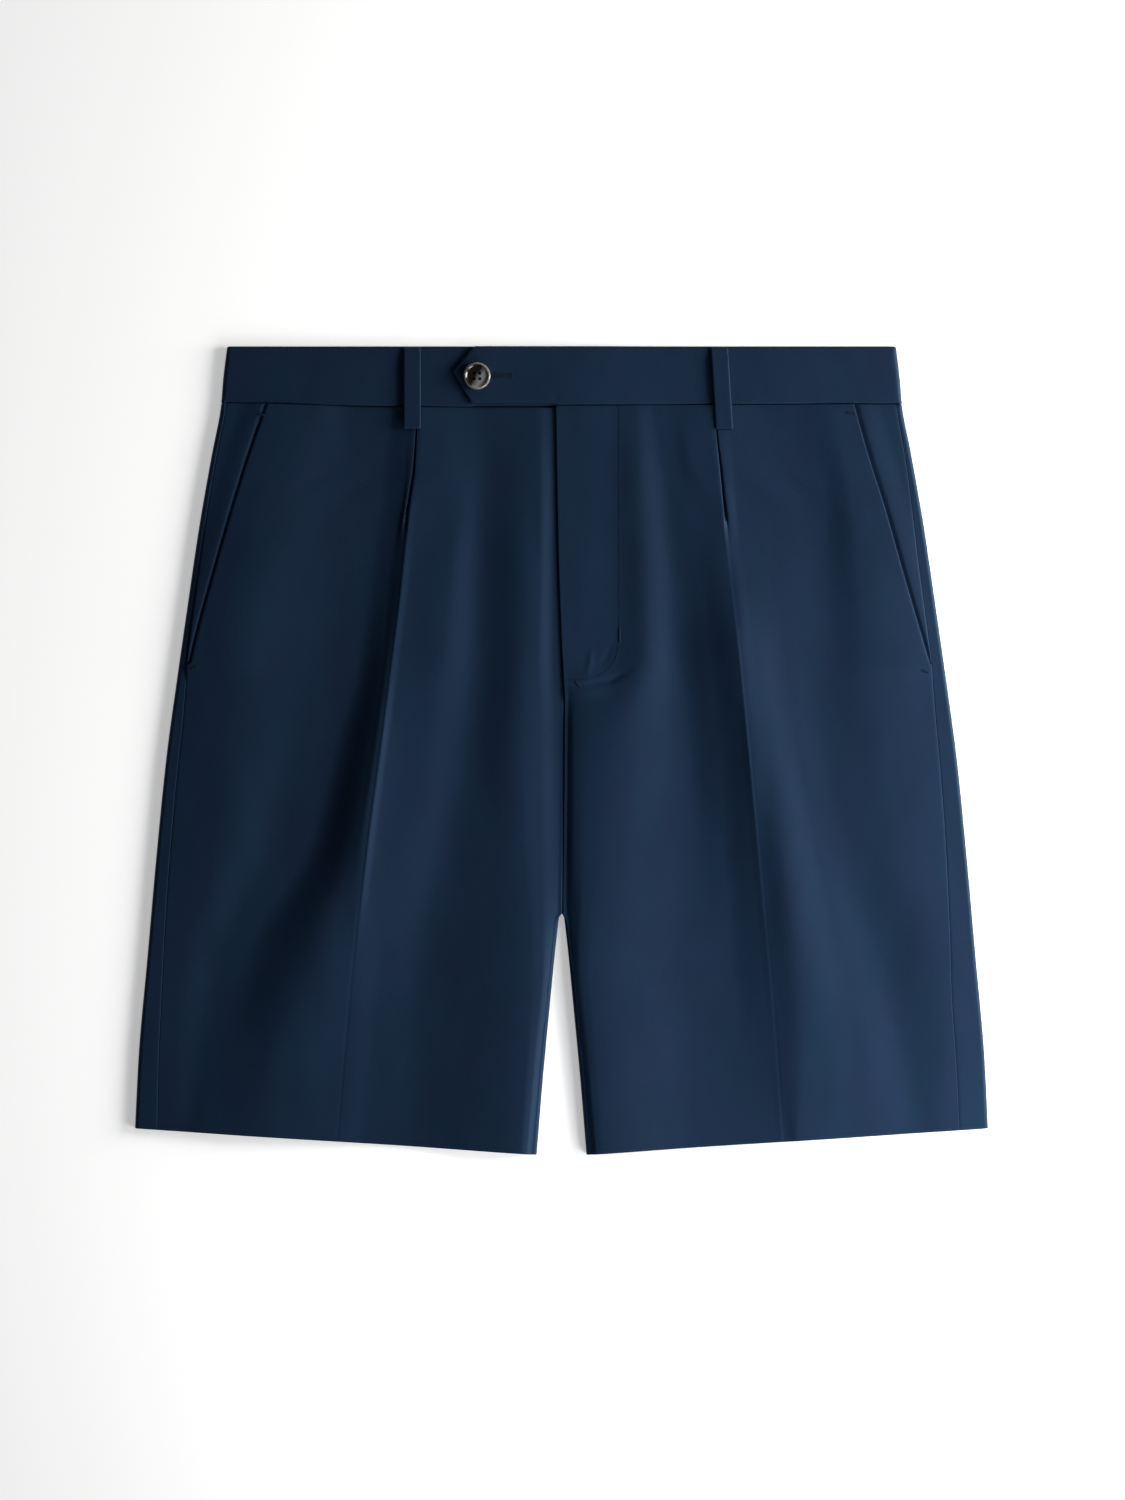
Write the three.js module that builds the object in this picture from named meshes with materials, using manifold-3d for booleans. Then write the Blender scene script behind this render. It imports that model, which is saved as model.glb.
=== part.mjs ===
// Pleated tailored shorts, laid out flat on their back.
//
// Millimetres. +X is the wearer's left, +Y runs from the hems to the waist, +Z is up.
// The origin is on the surface that the shorts lie on, below the middle of the garment.
//
// Every cloth piece is a thin wall. A wall is worked out section by section: a section is a
// line of cloth that runs outwards from the middle of the garment, at one place between the hem
// and the waist seam. "a" is the distance outwards from the middle, on either side, and "side"
// is +1 for the wearer's left and -1 for the wearer's right.

import * as THREE from 'three';
import { mergeVertices } from 'three/addons/utils/BufferGeometryUtils.js';
import Module from 'manifold-3d';

const wasm = await Module();
wasm.setup();

// ---------------------------------------------------------------- driving sizes

const CLOTH = 1.1;             // wall of suiting
const BAND_CLOTH = 2.0;        // waistband: two layers and an interlining
const LOOP_CLOTH = 1.3;        // belt loop: a strip folded double
const SEAM_GAP = 0.3;          // between two pieces that meet
const EDGE_RISE = 5.0;         // height of the rounded side edges, from back to front

const WAIST_TOP = 254.2;       // top edge of the waistband
const CROTCH_Y = -102.5;       // where the leg gap begins
const INSEAM_TURN = 14;        // below the crotch, the edge takes this long to turn right down
const FLY_END_Y = 44;          // foot of the fly opening
const FLY_JOIN_Y = 28;         // below this the fronts meet edge to edge
const FLY_UNDERLAP = 8;        // how far the right front reaches past the middle, under the fly
const POCKET_TIP_Y = 54;       // where the slant pocket's mouth meets the side seam
const POCKET_UNDERLAP = 12;    // how far the pocket facing reaches under the front
const FACING_SWELL = 1;        // the facing rises this much beside the pocket mouth
const POCKET_RAMP = 60;        // the front rises onto the facing over this distance
const FLY_RAMP_END = 36;       // where the left front has come down from the fly

const PLEAT_PITCH = 1.4;       // from one layer of the folded pleat to the next
const PLEAT_LAP = 3;           // flat cloth past the pleat's hidden fold
const PLEAT_CLEAR = 0.3;       // the cloth outside the pleat starts this far from its folds

const TAB_LIFT = BAND_CLOTH + SEAM_GAP;
const LAP_LIFT = CLOTH + SEAM_GAP;
const TAB_RAMP_END = 68;       // where the left half of the waistband has come down from the right one
const TAB_RAMP_STOPS = [54, 39, 24, 9];

const LOOP_WIDTH = 10.8;
const LOOP_CLEAR = 1.4;        // an empty loop lies this close to the waistband

const BUTTON_X = -53.1;
const BUTTON_Y = 235.2;
const BUTTON_RADIUS = 8.55;
const BUTTON_THICK = 3.0;
const BUTTON_HOLE_RADIUS = 1.0;
const BUTTON_HOLE_OFFSET = 1.75;

// ---------------------------------------------------------------- outlines

// Half the garment's width.
const OUTLINE = [
  { y: -238, half: 268.5 },
  { y: -192, half: 266.2 },
  { y: -129, half: 260.6 },
  { y: -66, half: 255.0 },
  { y: -3, half: 248.6 },
  { y: 44, half: 242.2 },
  { y: 92, half: 235.3 },
  { y: 139, half: 228.4 },
  { y: 186, half: 220.2 },
  { y: 218, half: 214.2 },
  { y: 233, half: 213.0 },
  { y: 254.2, half: 210.5 },
];

// Height of the hem and of the waist seam, outwards from the middle.
const LONG_EDGES = [
  { a: 0, hem: -255.3, seamRight: 215.6, seamLeft: 216.9 },
  { a: 100, hem: -248.8, seamRight: 216.0, seamLeft: 217.4 },
  { a: 215, hem: -241.3, seamRight: 218.6, seamLeft: 217.8 },
  { a: 268, hem: -237.8, seamRight: 218.8, seamLeft: 217.8 },
];

// Distance from the middle to the inseam edge of each leg.
const INSEAM = [
  { y: -256, edge: 15.6 },
  { y: -208, edge: 11.7 },
  { y: -160, edge: 7.2 },
  { y: -129, edge: 4.2 },
  { y: CROTCH_Y, edge: 1.2 },
];

// Where the centre front seam and the fly's edge lie in x.
const CENTRE_FRONT = [
  { y: CROTCH_Y, x: 0.5 },
  { y: 30, x: 1.6 },
  { y: 65, x: 0.0 },
  { y: 126, x: -2.2 },
  { y: 217, x: -3.8 },
];

// How far in from the outline the side seam lies, where the back wraps round to the front.
const SIDE_SEAM = [
  { y: -240, right: 14.5, left: 18.3 },
  { y: -176, right: 12.5, left: 18.4 },
  { y: -113, right: 9.8, left: 15.2 },
  { y: -57, right: 8.7, left: 12.8 },
  { y: 10, right: 8.0, left: 10.9 },
  { y: 60, right: 5.4, left: 8.3 },
  { y: 120, right: 4.4, left: 7.4 },
  { y: 183, right: 3.4, left: 4.6 },
  { y: 219, right: 3.4, left: 3.8 },
];

// Mouth of the slant pockets, as a distance outwards.
const POCKET_MOUTH = [
  { y: POCKET_TIP_Y, right: 233.4, left: 231.6 },
  { y: 75, right: 228.5, left: 225.4 },
  { y: 113, right: 218.0, left: 214.4 },
  { y: 151, right: 207.1, left: 203.7 },
  { y: 189, right: 195.2, left: 191.8 },
  { y: 218, right: 185.0, left: 183.8 },
];

// ---------------------------------------------------------------- folds of the fronts

// The pleat: the line of its fold, how deep it is, and how far it is folded over.
// 180 degrees is a pressed Z; below the pleat's end only a soft crease is left. The lip is how far
// out from the fold the cloth under it has come up again.
const PLEAT = [
  { y: -250, right: 140.6, left: 139.2, depth: 1.6, turn: 6, lip: 3.0 },
  { y: -160, right: 132.8, left: 132.6, depth: 1.6, turn: 6, lip: 3.0 },
  { y: -60, right: 121.6, left: 123.2, depth: 1.8, turn: 7, lip: 3.0 },
  { y: 10, right: 112.3, left: 116.4, depth: 1.9, turn: 6, lip: 3.0 },
  { y: 60, right: 106.0, left: 111.4, depth: 2.0, turn: 4, lip: 3.0 },
  { y: 100, right: 101.0, left: 107.0, depth: 2.1, turn: 4, lip: 3.0 },
  { y: 125, right: 98.4, left: 104.0, depth: 2.2, turn: 5, lip: 3.0 },
  { y: 138, right: 97.1, left: 102.7, depth: 2.2, turn: 20, lip: 3.0 },
  { y: 148, right: 95.9, left: 101.8, depth: 1.9, turn: 90, lip: 3.0 },
  { y: 156, right: 94.8, left: 101.0, depth: 2.5, turn: 160, lip: 2.8 },
  { y: 164, right: 93.6, left: 100.2, depth: 6.0, turn: 174, lip: 2.6 },
  { y: 176, right: 92.0, left: 99.1, depth: 12.0, turn: 179, lip: 2.4 },
  { y: 200, right: 90.4, left: 96.6, depth: 15.0, turn: 180, lip: 1.8 },
  { y: 218, right: 89.6, left: 95.4, depth: 15.0, turn: 180, lip: 1.6 },
];

// Lines of the softer folds, as a distance outwards. From the middle: "flat" and "pin" bound the
// cloth beside the fly and the centre seam, "swell" is the rise next to it, and "valley" and
// "shoulder" the dip before the pleat and the rise up to it. Outside the pleat's lip, "shelf" and
// "foot" are the top and the bottom of the flank that opens out towards the hem, "hollow" the dip
// below it and "ridge" the rise along the pocket and the thigh.
const FOLD_LINES = {
  right: [
    { y: -250, flat: 19, pin: 22, swell: 26, valley: 104, shoulder: 124,
      shelf: 196, foot: 226, hollow: 240, ridge: 247 },
    { y: -190, flat: 13, pin: 17, swell: 22, valley: 96, shoulder: 118,
      shelf: 176, foot: 216, hollow: 228, ridge: 243 },
    { y: -130, flat: 7, pin: 12, swell: 19, valley: 88, shoulder: 110,
      shelf: 152, foot: 200, hollow: 212, ridge: 237 },
    { y: -60, flat: 4, pin: 13, swell: 24, valley: 70, shoulder: 96,
      shelf: 131, foot: 159, hollow: 180, ridge: 214 },
    { y: 10, flat: 4, pin: 14, swell: 26, valley: 58, shoulder: 84,
      shelf: 119, foot: 140, hollow: 160, ridge: 206 },
    { y: 60, flat: 5, pin: 15, swell: 24, valley: 53, shoulder: 76,
      shelf: 112, foot: 127, hollow: 146, ridge: 204 },
    { y: 110, flat: 5, pin: 14, swell: 22, valley: 52, shoulder: 71,
      shelf: 109, foot: 122, hollow: 136, ridge: 194 },
    { y: 160, flat: 5, pin: 14, swell: 22, valley: 50, shoulder: 64,
      shelf: 100, foot: 114, hollow: 128, ridge: 178 },
    { y: 218, flat: 5, pin: 14, swell: 22, valley: 48, shoulder: 60,
      shelf: 97, foot: 108, hollow: 132, ridge: 156 },
  ],
  left: [
    { y: -250, flat: 19, pin: 22, swell: 27, valley: 88, shoulder: 116,
      shelf: 148, foot: 198, hollow: 226, ridge: 243 },
    { y: -190, flat: 13, pin: 17, swell: 22, valley: 90, shoulder: 112,
      shelf: 152, foot: 190, hollow: 216, ridge: 241 },
    { y: -130, flat: 7, pin: 12, swell: 18, valley: 84, shoulder: 106,
      shelf: 148, foot: 176, hollow: 200, ridge: 236 },
    { y: -60, flat: 8, pin: 15, swell: 24, valley: 84, shoulder: 102,
      shelf: 138, foot: 160, hollow: 180, ridge: 210 },
    { y: 10, flat: 8, pin: 18, swell: 34, valley: 80, shoulder: 97,
      shelf: 128, foot: 148, hollow: 166, ridge: 198 },
    { y: 60, flat: 10, pin: 36, swell: 52, valley: 74, shoulder: 92,
      shelf: 122, foot: 142, hollow: 164, ridge: 192 },
    { y: 110, flat: 10, pin: 36, swell: 52, valley: 71, shoulder: 86,
      shelf: 116, foot: 140, hollow: 167, ridge: 187 },
    { y: 160, flat: 10, pin: 34, swell: 49, valley: 66, shoulder: 75,
      shelf: 110, foot: 138, hollow: 165, ridge: 182 },
    { y: 218, flat: 10, pin: 32, swell: 46, valley: 58, shoulder: 67,
      shelf: 108, foot: 128, hollow: 150, ridge: 172 },
  ],
};

// Height of the front's outer face above the surface, on the same lines. "middle" is the edge
// at the fly, the centre seam or the inseam, "lap" the cloth over the pleat's hidden fold, and
// "crest" the pleat's own edge.
const FOLD_HEIGHTS = {
  right: [
    { y: -250, middle: 5.0, flat: 6.4, pin: 7.8, swell: 8.4, valley: 3.0, shoulder: 3.5, lap: 4.6,
      crest: 5.0, lip: 5.1, shelf: 7.2, foot: 6.2, hollow: 5.4, ridge: 5.2 },
    { y: -190, middle: 5.0, flat: 6.8, pin: 8.4, swell: 9.0, valley: 3.0, shoulder: 3.6, lap: 4.9,
      crest: 5.3, lip: 5.5, shelf: 7.8, foot: 4.7, hollow: 4.2, ridge: 4.8 },
    { y: -130, middle: 4.4, flat: 6.6, pin: 8.2, swell: 8.7, valley: 3.2, shoulder: 5.1, lap: 7.6,
      crest: 8.4, lip: 8.7, shelf: 9.9, foot: 3.1, hollow: 2.9, ridge: 4.6 },
    { y: -60, middle: 4.2, flat: 5.0, pin: 6.5, swell: 7.4, valley: 4.2, shoulder: 7.3, lap: 10.2,
      crest: 11.8, lip: 11.6, shelf: 10.6, foot: 3.0, hollow: 2.9, ridge: 5.8 },
    { y: 10, middle: 4.2, flat: 4.7, pin: 6.4, swell: 7.3, valley: 3.5, shoulder: 6.6, lap: 9.0,
      crest: 10.6, lip: 10.2, shelf: 9.1, foot: 3.0, hollow: 2.9, ridge: 6.0 },
    { y: 60, middle: 4.6, flat: 4.8, pin: 6.7, swell: 7.2, valley: 3.6, shoulder: 6.9, lap: 7.7,
      crest: 8.6, lip: 7.8, shelf: 6.8, foot: 3.0, hollow: 2.9, ridge: 6.2 },
    { y: 110, middle: 4.6, flat: 4.8, pin: 6.5, swell: 6.9, valley: 3.5, shoulder: 6.2, lap: 6.8,
      crest: 7.6, lip: 6.5, shelf: 4.7, foot: 3.1, hollow: 3.0, ridge: 6.1 },
    { y: 160, middle: 4.6, flat: 4.8, pin: 6.2, swell: 6.0, valley: 3.8, shoulder: 5.1, lap: 6.3,
      crest: 6.8, lip: 5.9, shelf: 4.9, foot: 3.3, hollow: 3.2, ridge: 5.4 },
    { y: 218, middle: 4.9, flat: 5.0, pin: 5.6, swell: 5.3, valley: 4.6, shoulder: 4.6, lap: 5.0,
      crest: 6.0, lip: 5.7, shelf: 5.2, foot: 4.0, hollow: 3.6, ridge: 4.7 },
  ],
  left: [
    { y: -250, middle: 5.0, flat: 7.0, pin: 8.4, swell: 8.8, valley: 4.1, shoulder: 4.6, lap: 5.4,
      crest: 5.8, lip: 5.9, shelf: 6.8, foot: 5.6, hollow: 5.0, ridge: 5.3 },
    { y: -190, middle: 5.0, flat: 7.4, pin: 8.8, swell: 9.2, valley: 4.0, shoulder: 4.9, lap: 6.6,
      crest: 7.2, lip: 7.6, shelf: 9.2, foot: 7.2, hollow: 4.7, ridge: 5.8 },
    { y: -130, middle: 4.2, flat: 7.0, pin: 8.6, swell: 9.0, valley: 3.4, shoulder: 3.6, lap: 6.2,
      crest: 7.2, lip: 7.6, shelf: 9.9, foot: 6.2, hollow: 3.8, ridge: 5.9 },
    { y: -60, middle: 3.4, flat: 7.1, pin: 8.0, swell: 8.2, valley: 3.1, shoulder: 4.4, lap: 8.0,
      crest: 9.4, lip: 9.6, shelf: 11.0, foot: 7.8, hollow: 6.2, ridge: 7.1 },
    { y: 10, middle: 3.4, flat: 7.0, pin: 8.2, swell: 8.8, valley: 3.8, shoulder: 6.4, lap: 10.4,
      crest: 12.1, lip: 11.8, shelf: 10.9, foot: 7.7, hollow: 6.4, ridge: 7.5 },
    { y: 60, middle: 4.6, flat: 4.6, pin: 6.2, swell: 7.8, valley: 4.4, shoulder: 7.4, lap: 11.4,
      crest: 12.6, lip: 12.2, shelf: 10.9, foot: 7.6, hollow: 6.4, ridge: 7.8 },
    { y: 110, middle: 4.6, flat: 4.6, pin: 5.6, swell: 7.2, valley: 4.8, shoulder: 6.1, lap: 8.5,
      crest: 9.1, lip: 9.0, shelf: 8.4, foot: 6.9, hollow: 5.6, ridge: 6.9 },
    { y: 160, middle: 4.6, flat: 4.6, pin: 6.2, swell: 7.4, valley: 5.4, shoulder: 5.8, lap: 7.2,
      crest: 7.6, lip: 6.6, shelf: 5.7, foot: 4.8, hollow: 4.2, ridge: 5.5 },
    { y: 218, middle: 5.0, flat: 5.0, pin: 5.7, swell: 5.8, valley: 5.1, shoulder: 5.1, lap: 5.4,
      crest: 6.0, lip: 5.7, shelf: 5.2, foot: 4.4, hollow: 4.2, ridge: 4.6 },
  ],
};

// Belt loops: a of each at its top and its foot, and the height of the cloth under its foot.
const BELT_LOOPS = [
  { name: 'belt_loop_right', side: -1, top: 93.9, bottom: 93.9, seat: 6.7 },
  { name: 'belt_loop_left', side: 1, top: 99.2, bottom: 102.4, seat: 5.9 },
];
const LOOP_TOP_Y = 253.4;
const LOOP_FOOT_Y = 202;

// ---------------------------------------------------------------- reading the tables

function clamp(value, low, high) {
  return Math.min(Math.max(value, low), high);
}

function smoothstep(from, to, value) {
  const t = clamp((value - from) / (to - from), 0, 1);
  return t * t * (3 - 2 * t);
}

// Slope of a smooth line through points, flat at each local top and bottom.
function slopeAt(xs, ys, i) {
  const last = xs.length - 1;
  if (i === 0) return (ys[1] - ys[0]) / (xs[1] - xs[0]);
  if (i === last) return (ys[last] - ys[last - 1]) / (xs[last] - xs[last - 1]);
  const before = (ys[i] - ys[i - 1]) / (xs[i] - xs[i - 1]);
  const after = (ys[i + 1] - ys[i]) / (xs[i + 1] - xs[i]);
  return before * after <= 0 ? 0 : (2 * before * after) / (before + after);
}

function smoothLine(xs, ys, x) {
  const last = xs.length - 1;
  if (x <= xs[0]) return ys[0];
  if (x >= xs[last]) return ys[last];
  let i = 0;
  while (x > xs[i + 1]) i += 1;
  const span = xs[i + 1] - xs[i];
  const t = (x - xs[i]) / span;
  const rise = ys[i + 1] - ys[i];
  const m0 = slopeAt(xs, ys, i) * span;
  const m1 = slopeAt(xs, ys, i + 1) * span;
  return ys[i] + t * m0 + t * t * (3 * rise - 2 * m0 - m1) + t * t * t * (m0 + m1 - 2 * rise);
}

function read(table, key, at, column) {
  const xs = table.map((row) => row[key]);
  const ys = table.map((row) => row[column]);
  return smoothLine(xs, ys, at);
}

function sideName(side) {
  return side > 0 ? 'left' : 'right';
}

// ---------------------------------------------------------------- lines on the garment

function halfWidth(y) {
  return read(OUTLINE, 'y', y, 'half');
}

function hemY(a) {
  return read(LONG_EDGES, 'a', a, 'hem');
}

function waistSeamY(side, a) {
  return read(LONG_EDGES, 'a', a, side > 0 ? 'seamLeft' : 'seamRight');
}

// The y of a point on a section. Section 0 is the hem, and 1 the waist seam.
function sectionY(side, a, section) {
  const hem = hemY(Math.abs(a));
  const seam = waistSeamY(side, Math.abs(a)) - SEAM_GAP / 2;
  return hem + section * (seam - hem);
}

function sectionThrough(side, a, y) {
  const hem = hemY(a);
  return (y - hem) / (waistSeamY(side, a) - SEAM_GAP / 2 - hem);
}

// Where a section meets a line that is given as a function of y.
function meet(side, section, line) {
  let a = 120;
  for (let step = 0; step < 4; step += 1) a = line(sectionY(side, a, section));
  return a;
}

function sideSeam(side, y) {
  return halfWidth(y) - read(SIDE_SEAM, 'y', y, sideName(side));
}

function pocketMouth(side, y) {
  return read(POCKET_MOUTH, 'y', y, sideName(side));
}

function pleatLine(side, y) {
  return read(PLEAT, 'y', y, sideName(side));
}

function inseamTurn(y) {
  return smoothstep(CROTCH_Y, CROTCH_Y - INSEAM_TURN, y);
}

// Inner end of a front: under or along the fly, then the centre seam, then the inseam.
function frontInnerEnd(side, y) {
  if (y < CROTCH_Y - 1) return read(INSEAM, 'y', y, 'edge');
  const seam = side * read(CENTRE_FRONT, 'y', y, 'x');
  if (y <= FLY_END_Y - 5) return seam + SEAM_GAP / 2;
  return side > 0 ? seam : -FLY_UNDERLAP;
}

function backInnerEnd(y) {
  return y < CROTCH_Y - 1 ? read(INSEAM, 'y', y, 'edge') : SEAM_GAP / 2;
}

function frontOuterEnd(side, y) {
  const seam = sideSeam(side, y) - SEAM_GAP;
  return y < POCKET_TIP_Y ? seam : Math.min(seam, pocketMouth(side, y));
}

// ---------------------------------------------------------------- height of the cloth

function pleatDrop(y) {
  const turn = THREE.MathUtils.degToRad(read(PLEAT, 'y', y, 'turn'));
  const depth = read(PLEAT, 'y', y, 'depth');
  return PLEAT_PITCH * (1 - Math.cos(turn)) + depth * Math.sin(turn);
}

// Height of the outer face, before the pleat's own drop is taken off.
function drape(side, a, y) {
  const line = (name) => read(FOLD_LINES[sideName(side)], 'y', y, name);
  const height = (name) => read(FOLD_HEIGHTS[sideName(side)], 'y', y, name);
  const crest = pleatLine(side, y);
  if (a <= crest) {
    const lap = crest - read(PLEAT, 'y', y, 'depth') - PLEAT_LAP;
    const names = ['flat', 'pin', 'swell', 'valley', 'shoulder'];
    const xs = [frontInnerEnd(side, y) - 1, ...names.map(line), lap, crest];
    return smoothLine(xs, ['middle', ...names, 'lap', 'crest'].map(height), a);
  }
  const drop = pleatDrop(y);
  const lip = crest + read(PLEAT, 'y', y, 'lip');
  const names = ['shelf', 'foot', 'hollow', 'ridge'];
  const xs = [crest, lip, ...names.map(line), halfWidth(y) - EDGE_RISE / 2];
  const outside = ['lip', ...names].map((name) => height(name) + drop);
  return smoothLine(xs, [height('crest'), ...outside, EDGE_RISE + drop], a);
}

// A front is lifted where it lies on the pocket facing, and the left one over the fly.
function lapLift(side, a, y) {
  const mouth = pocketMouth(side, y);
  const overPocket = smoothstep(mouth - POCKET_RAMP, mouth - 1.1 * POCKET_UNDERLAP, a);
  const besidePocket = smoothstep(POCKET_TIP_Y - 12, POCKET_TIP_Y + 1, y);
  const overFly = side > 0 ? 1 - smoothstep(FLY_UNDERLAP + 2, FLY_RAMP_END, a) : 0;
  const besideFly = smoothstep(FLY_JOIN_Y, FLY_END_Y - 6, y);
  return LAP_LIFT * Math.max(overPocket * besidePocket, overFly * besideFly);
}

// ---------------------------------------------------------------- walls

// Points of a section: a and z of the cloth's middle line, and its outward normal.
function clothPoint(a, z, normalAngle) {
  return { a, z, na: Math.sin(normalAngle), nz: Math.cos(normalAngle) };
}

// count points from one a to another, without the last.
function stretch(from, to, count) {
  return Array.from({ length: count }, (_, i) => clothPoint(from + ((to - from) * i) / count, 0, 0));
}

// A closed wall between an outer and an inner grid of points. Each is a list of rows.
function wallGeometry(outer, inner) {
  const rows = outer.length;
  const columns = outer[0].length;
  const positions = [...outer.flat(), ...inner.flat()].flat();
  const innerStart = rows * columns;
  const faces = [];
  const quad = (p, q, r, s) => faces.push(p, q, r, p, r, s);
  const outerAt = (i, j) => i * columns + j;
  const innerAt = (i, j) => innerStart + i * columns + j;
  for (let i = 0; i < rows - 1; i += 1) {
    for (let j = 0; j < columns - 1; j += 1) {
      quad(outerAt(i, j), outerAt(i, j + 1), outerAt(i + 1, j + 1), outerAt(i + 1, j));
      quad(innerAt(i, j), innerAt(i + 1, j), innerAt(i + 1, j + 1), innerAt(i, j + 1));
    }
  }
  for (let j = 0; j < columns - 1; j += 1) {
    quad(outerAt(0, j), innerAt(0, j), innerAt(0, j + 1), outerAt(0, j + 1));
    quad(outerAt(rows - 1, j), outerAt(rows - 1, j + 1), innerAt(rows - 1, j + 1), innerAt(rows - 1, j));
  }
  for (let i = 0; i < rows - 1; i += 1) {
    quad(outerAt(i, 0), outerAt(i + 1, 0), innerAt(i + 1, 0), innerAt(i, 0));
    quad(outerAt(i, columns - 1), innerAt(i, columns - 1), innerAt(i + 1, columns - 1), outerAt(i + 1, columns - 1));
  }
  const geometry = new THREE.BufferGeometry();
  geometry.setAttribute('position', new THREE.Float32BufferAttribute(positions, 3));
  geometry.setIndex(facingOut(positions, faces));
  return geometry;
}

// The same faces, turned so that the volume inside them is positive.
function facingOut(positions, faces) {
  const corner = (index) => new THREE.Vector3().fromArray(positions, index * 3);
  let volume = 0;
  for (let f = 0; f < faces.length; f += 3) {
    const [p, q, r] = [corner(faces[f]), corner(faces[f + 1]), corner(faces[f + 2])];
    volume += p.dot(q.cross(r));
  }
  if (volume > 0) return faces;
  const turned = [];
  for (let f = 0; f < faces.length; f += 3) turned.push(faces[f], faces[f + 2], faces[f + 1]);
  return turned;
}

// Both faces of a wall of cloth from its sections. lay gives the height that a point is moved
// up by, from its own a and y.
function clothWall(side, sections, thickness, lay) {
  const face = (sign) => sections.map(({ points, yAt }) => points.map((point) => {
    const a = point.a + (sign * point.na * thickness) / 2;
    const y = yAt(point.a);
    const z = point.z + (sign * point.nz * thickness) / 2;
    return [side * a, y, z + lay(a, y, point)];
  }));
  return wallGeometry(face(1), face(-1));
}

// Sections between the hem and the waist seam: the named places, and even steps between them.
function sectionList(side, spacing, places) {
  const fixed = [0, 1, ...places.map(({ a, y }) => sectionThrough(side, a, y))].sort((p, q) => p - q);
  const length = waistSeamY(side, 0) - hemY(0);
  const list = [];
  for (let i = 0; i < fixed.length - 1; i += 1) {
    const count = Math.max(1, Math.round(((fixed[i + 1] - fixed[i]) * length) / spacing));
    for (let k = 0; k < count; k += 1) list.push(fixed[i] + ((fixed[i + 1] - fixed[i]) * k) / count);
  }
  return [...list, 1];
}

const SECTION_SPACING = 21;
const SECTION_PLACES = [
  { a: 0, y: CROTCH_Y },
  { a: 4, y: CROTCH_Y - INSEAM_TURN },
  { a: 0, y: FLY_JOIN_Y },
  { a: 0, y: FLY_END_Y - 5 },
  { a: 0, y: FLY_END_Y },
  { a: 232, y: POCKET_TIP_Y + 1 },
];

function sectionsOf(side) {
  return sectionList(side, SECTION_SPACING, SECTION_PLACES);
}

// ---------------------------------------------------------------- fronts

// The inner end of a leg's cloth turns round towards the inseam: down on a front.
function innerTurn(end, rise, turned, direction) {
  const angle = (turned * Math.PI) / 2;
  const radius = (rise - CLOTH) / 2;
  const length = (radius * Math.PI) / 2 - (turned * SEAM_GAP) / 2;
  const tip = end + (turned * CLOTH) / 2;
  const bend = angle > 0.01 ? length / angle : 0;
  const reach = angle > 0.01 ? bend * Math.sin(angle) : length;
  const steps = 3;
  const points = [];
  for (let k = 0; k < steps; k += 1) {
    const rest = 1 - k / steps;
    const a = angle > 0.01 ? tip + reach - bend * Math.sin(angle * rest) : tip + (length * k) / steps;
    const z = angle > 0.01 ? -direction * bend * (1 - Math.cos(angle * rest)) : 0;
    points.push(clothPoint(a, z, -direction * angle * rest));
  }
  return { points, start: tip + reach };
}

// The pleat: a turn under, a stretch back and a turn out again.
function pleatPoints(crest, depth, turn) {
  const radius = PLEAT_PITCH / 2;
  const steps = 4;
  const points = [];
  const start = crest - radius;
  for (let k = 0; k <= steps; k += 1) {
    const angle = (turn * k) / steps;
    points.push(clothPoint(start + radius * Math.sin(angle), -radius * (1 - Math.cos(angle)), angle));
  }
  const fold = points[points.length - 1];
  for (const part of [1 / 3, 2 / 3]) {
    const along = depth * part;
    points.push(clothPoint(fold.a + along * Math.cos(turn), fold.z - along * Math.sin(turn), turn));
  }
  const hidden = { a: fold.a + depth * Math.cos(turn), z: fold.z - depth * Math.sin(turn) };
  for (let k = 0; k <= steps; k += 1) {
    const angle = turn * (1 - k / steps);
    const a = hidden.a + radius * (Math.sin(turn) - Math.sin(angle));
    const z = hidden.z - radius * (Math.cos(angle) - Math.cos(turn));
    points.push(clothPoint(a, z, angle));
  }
  return points;
}

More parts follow.
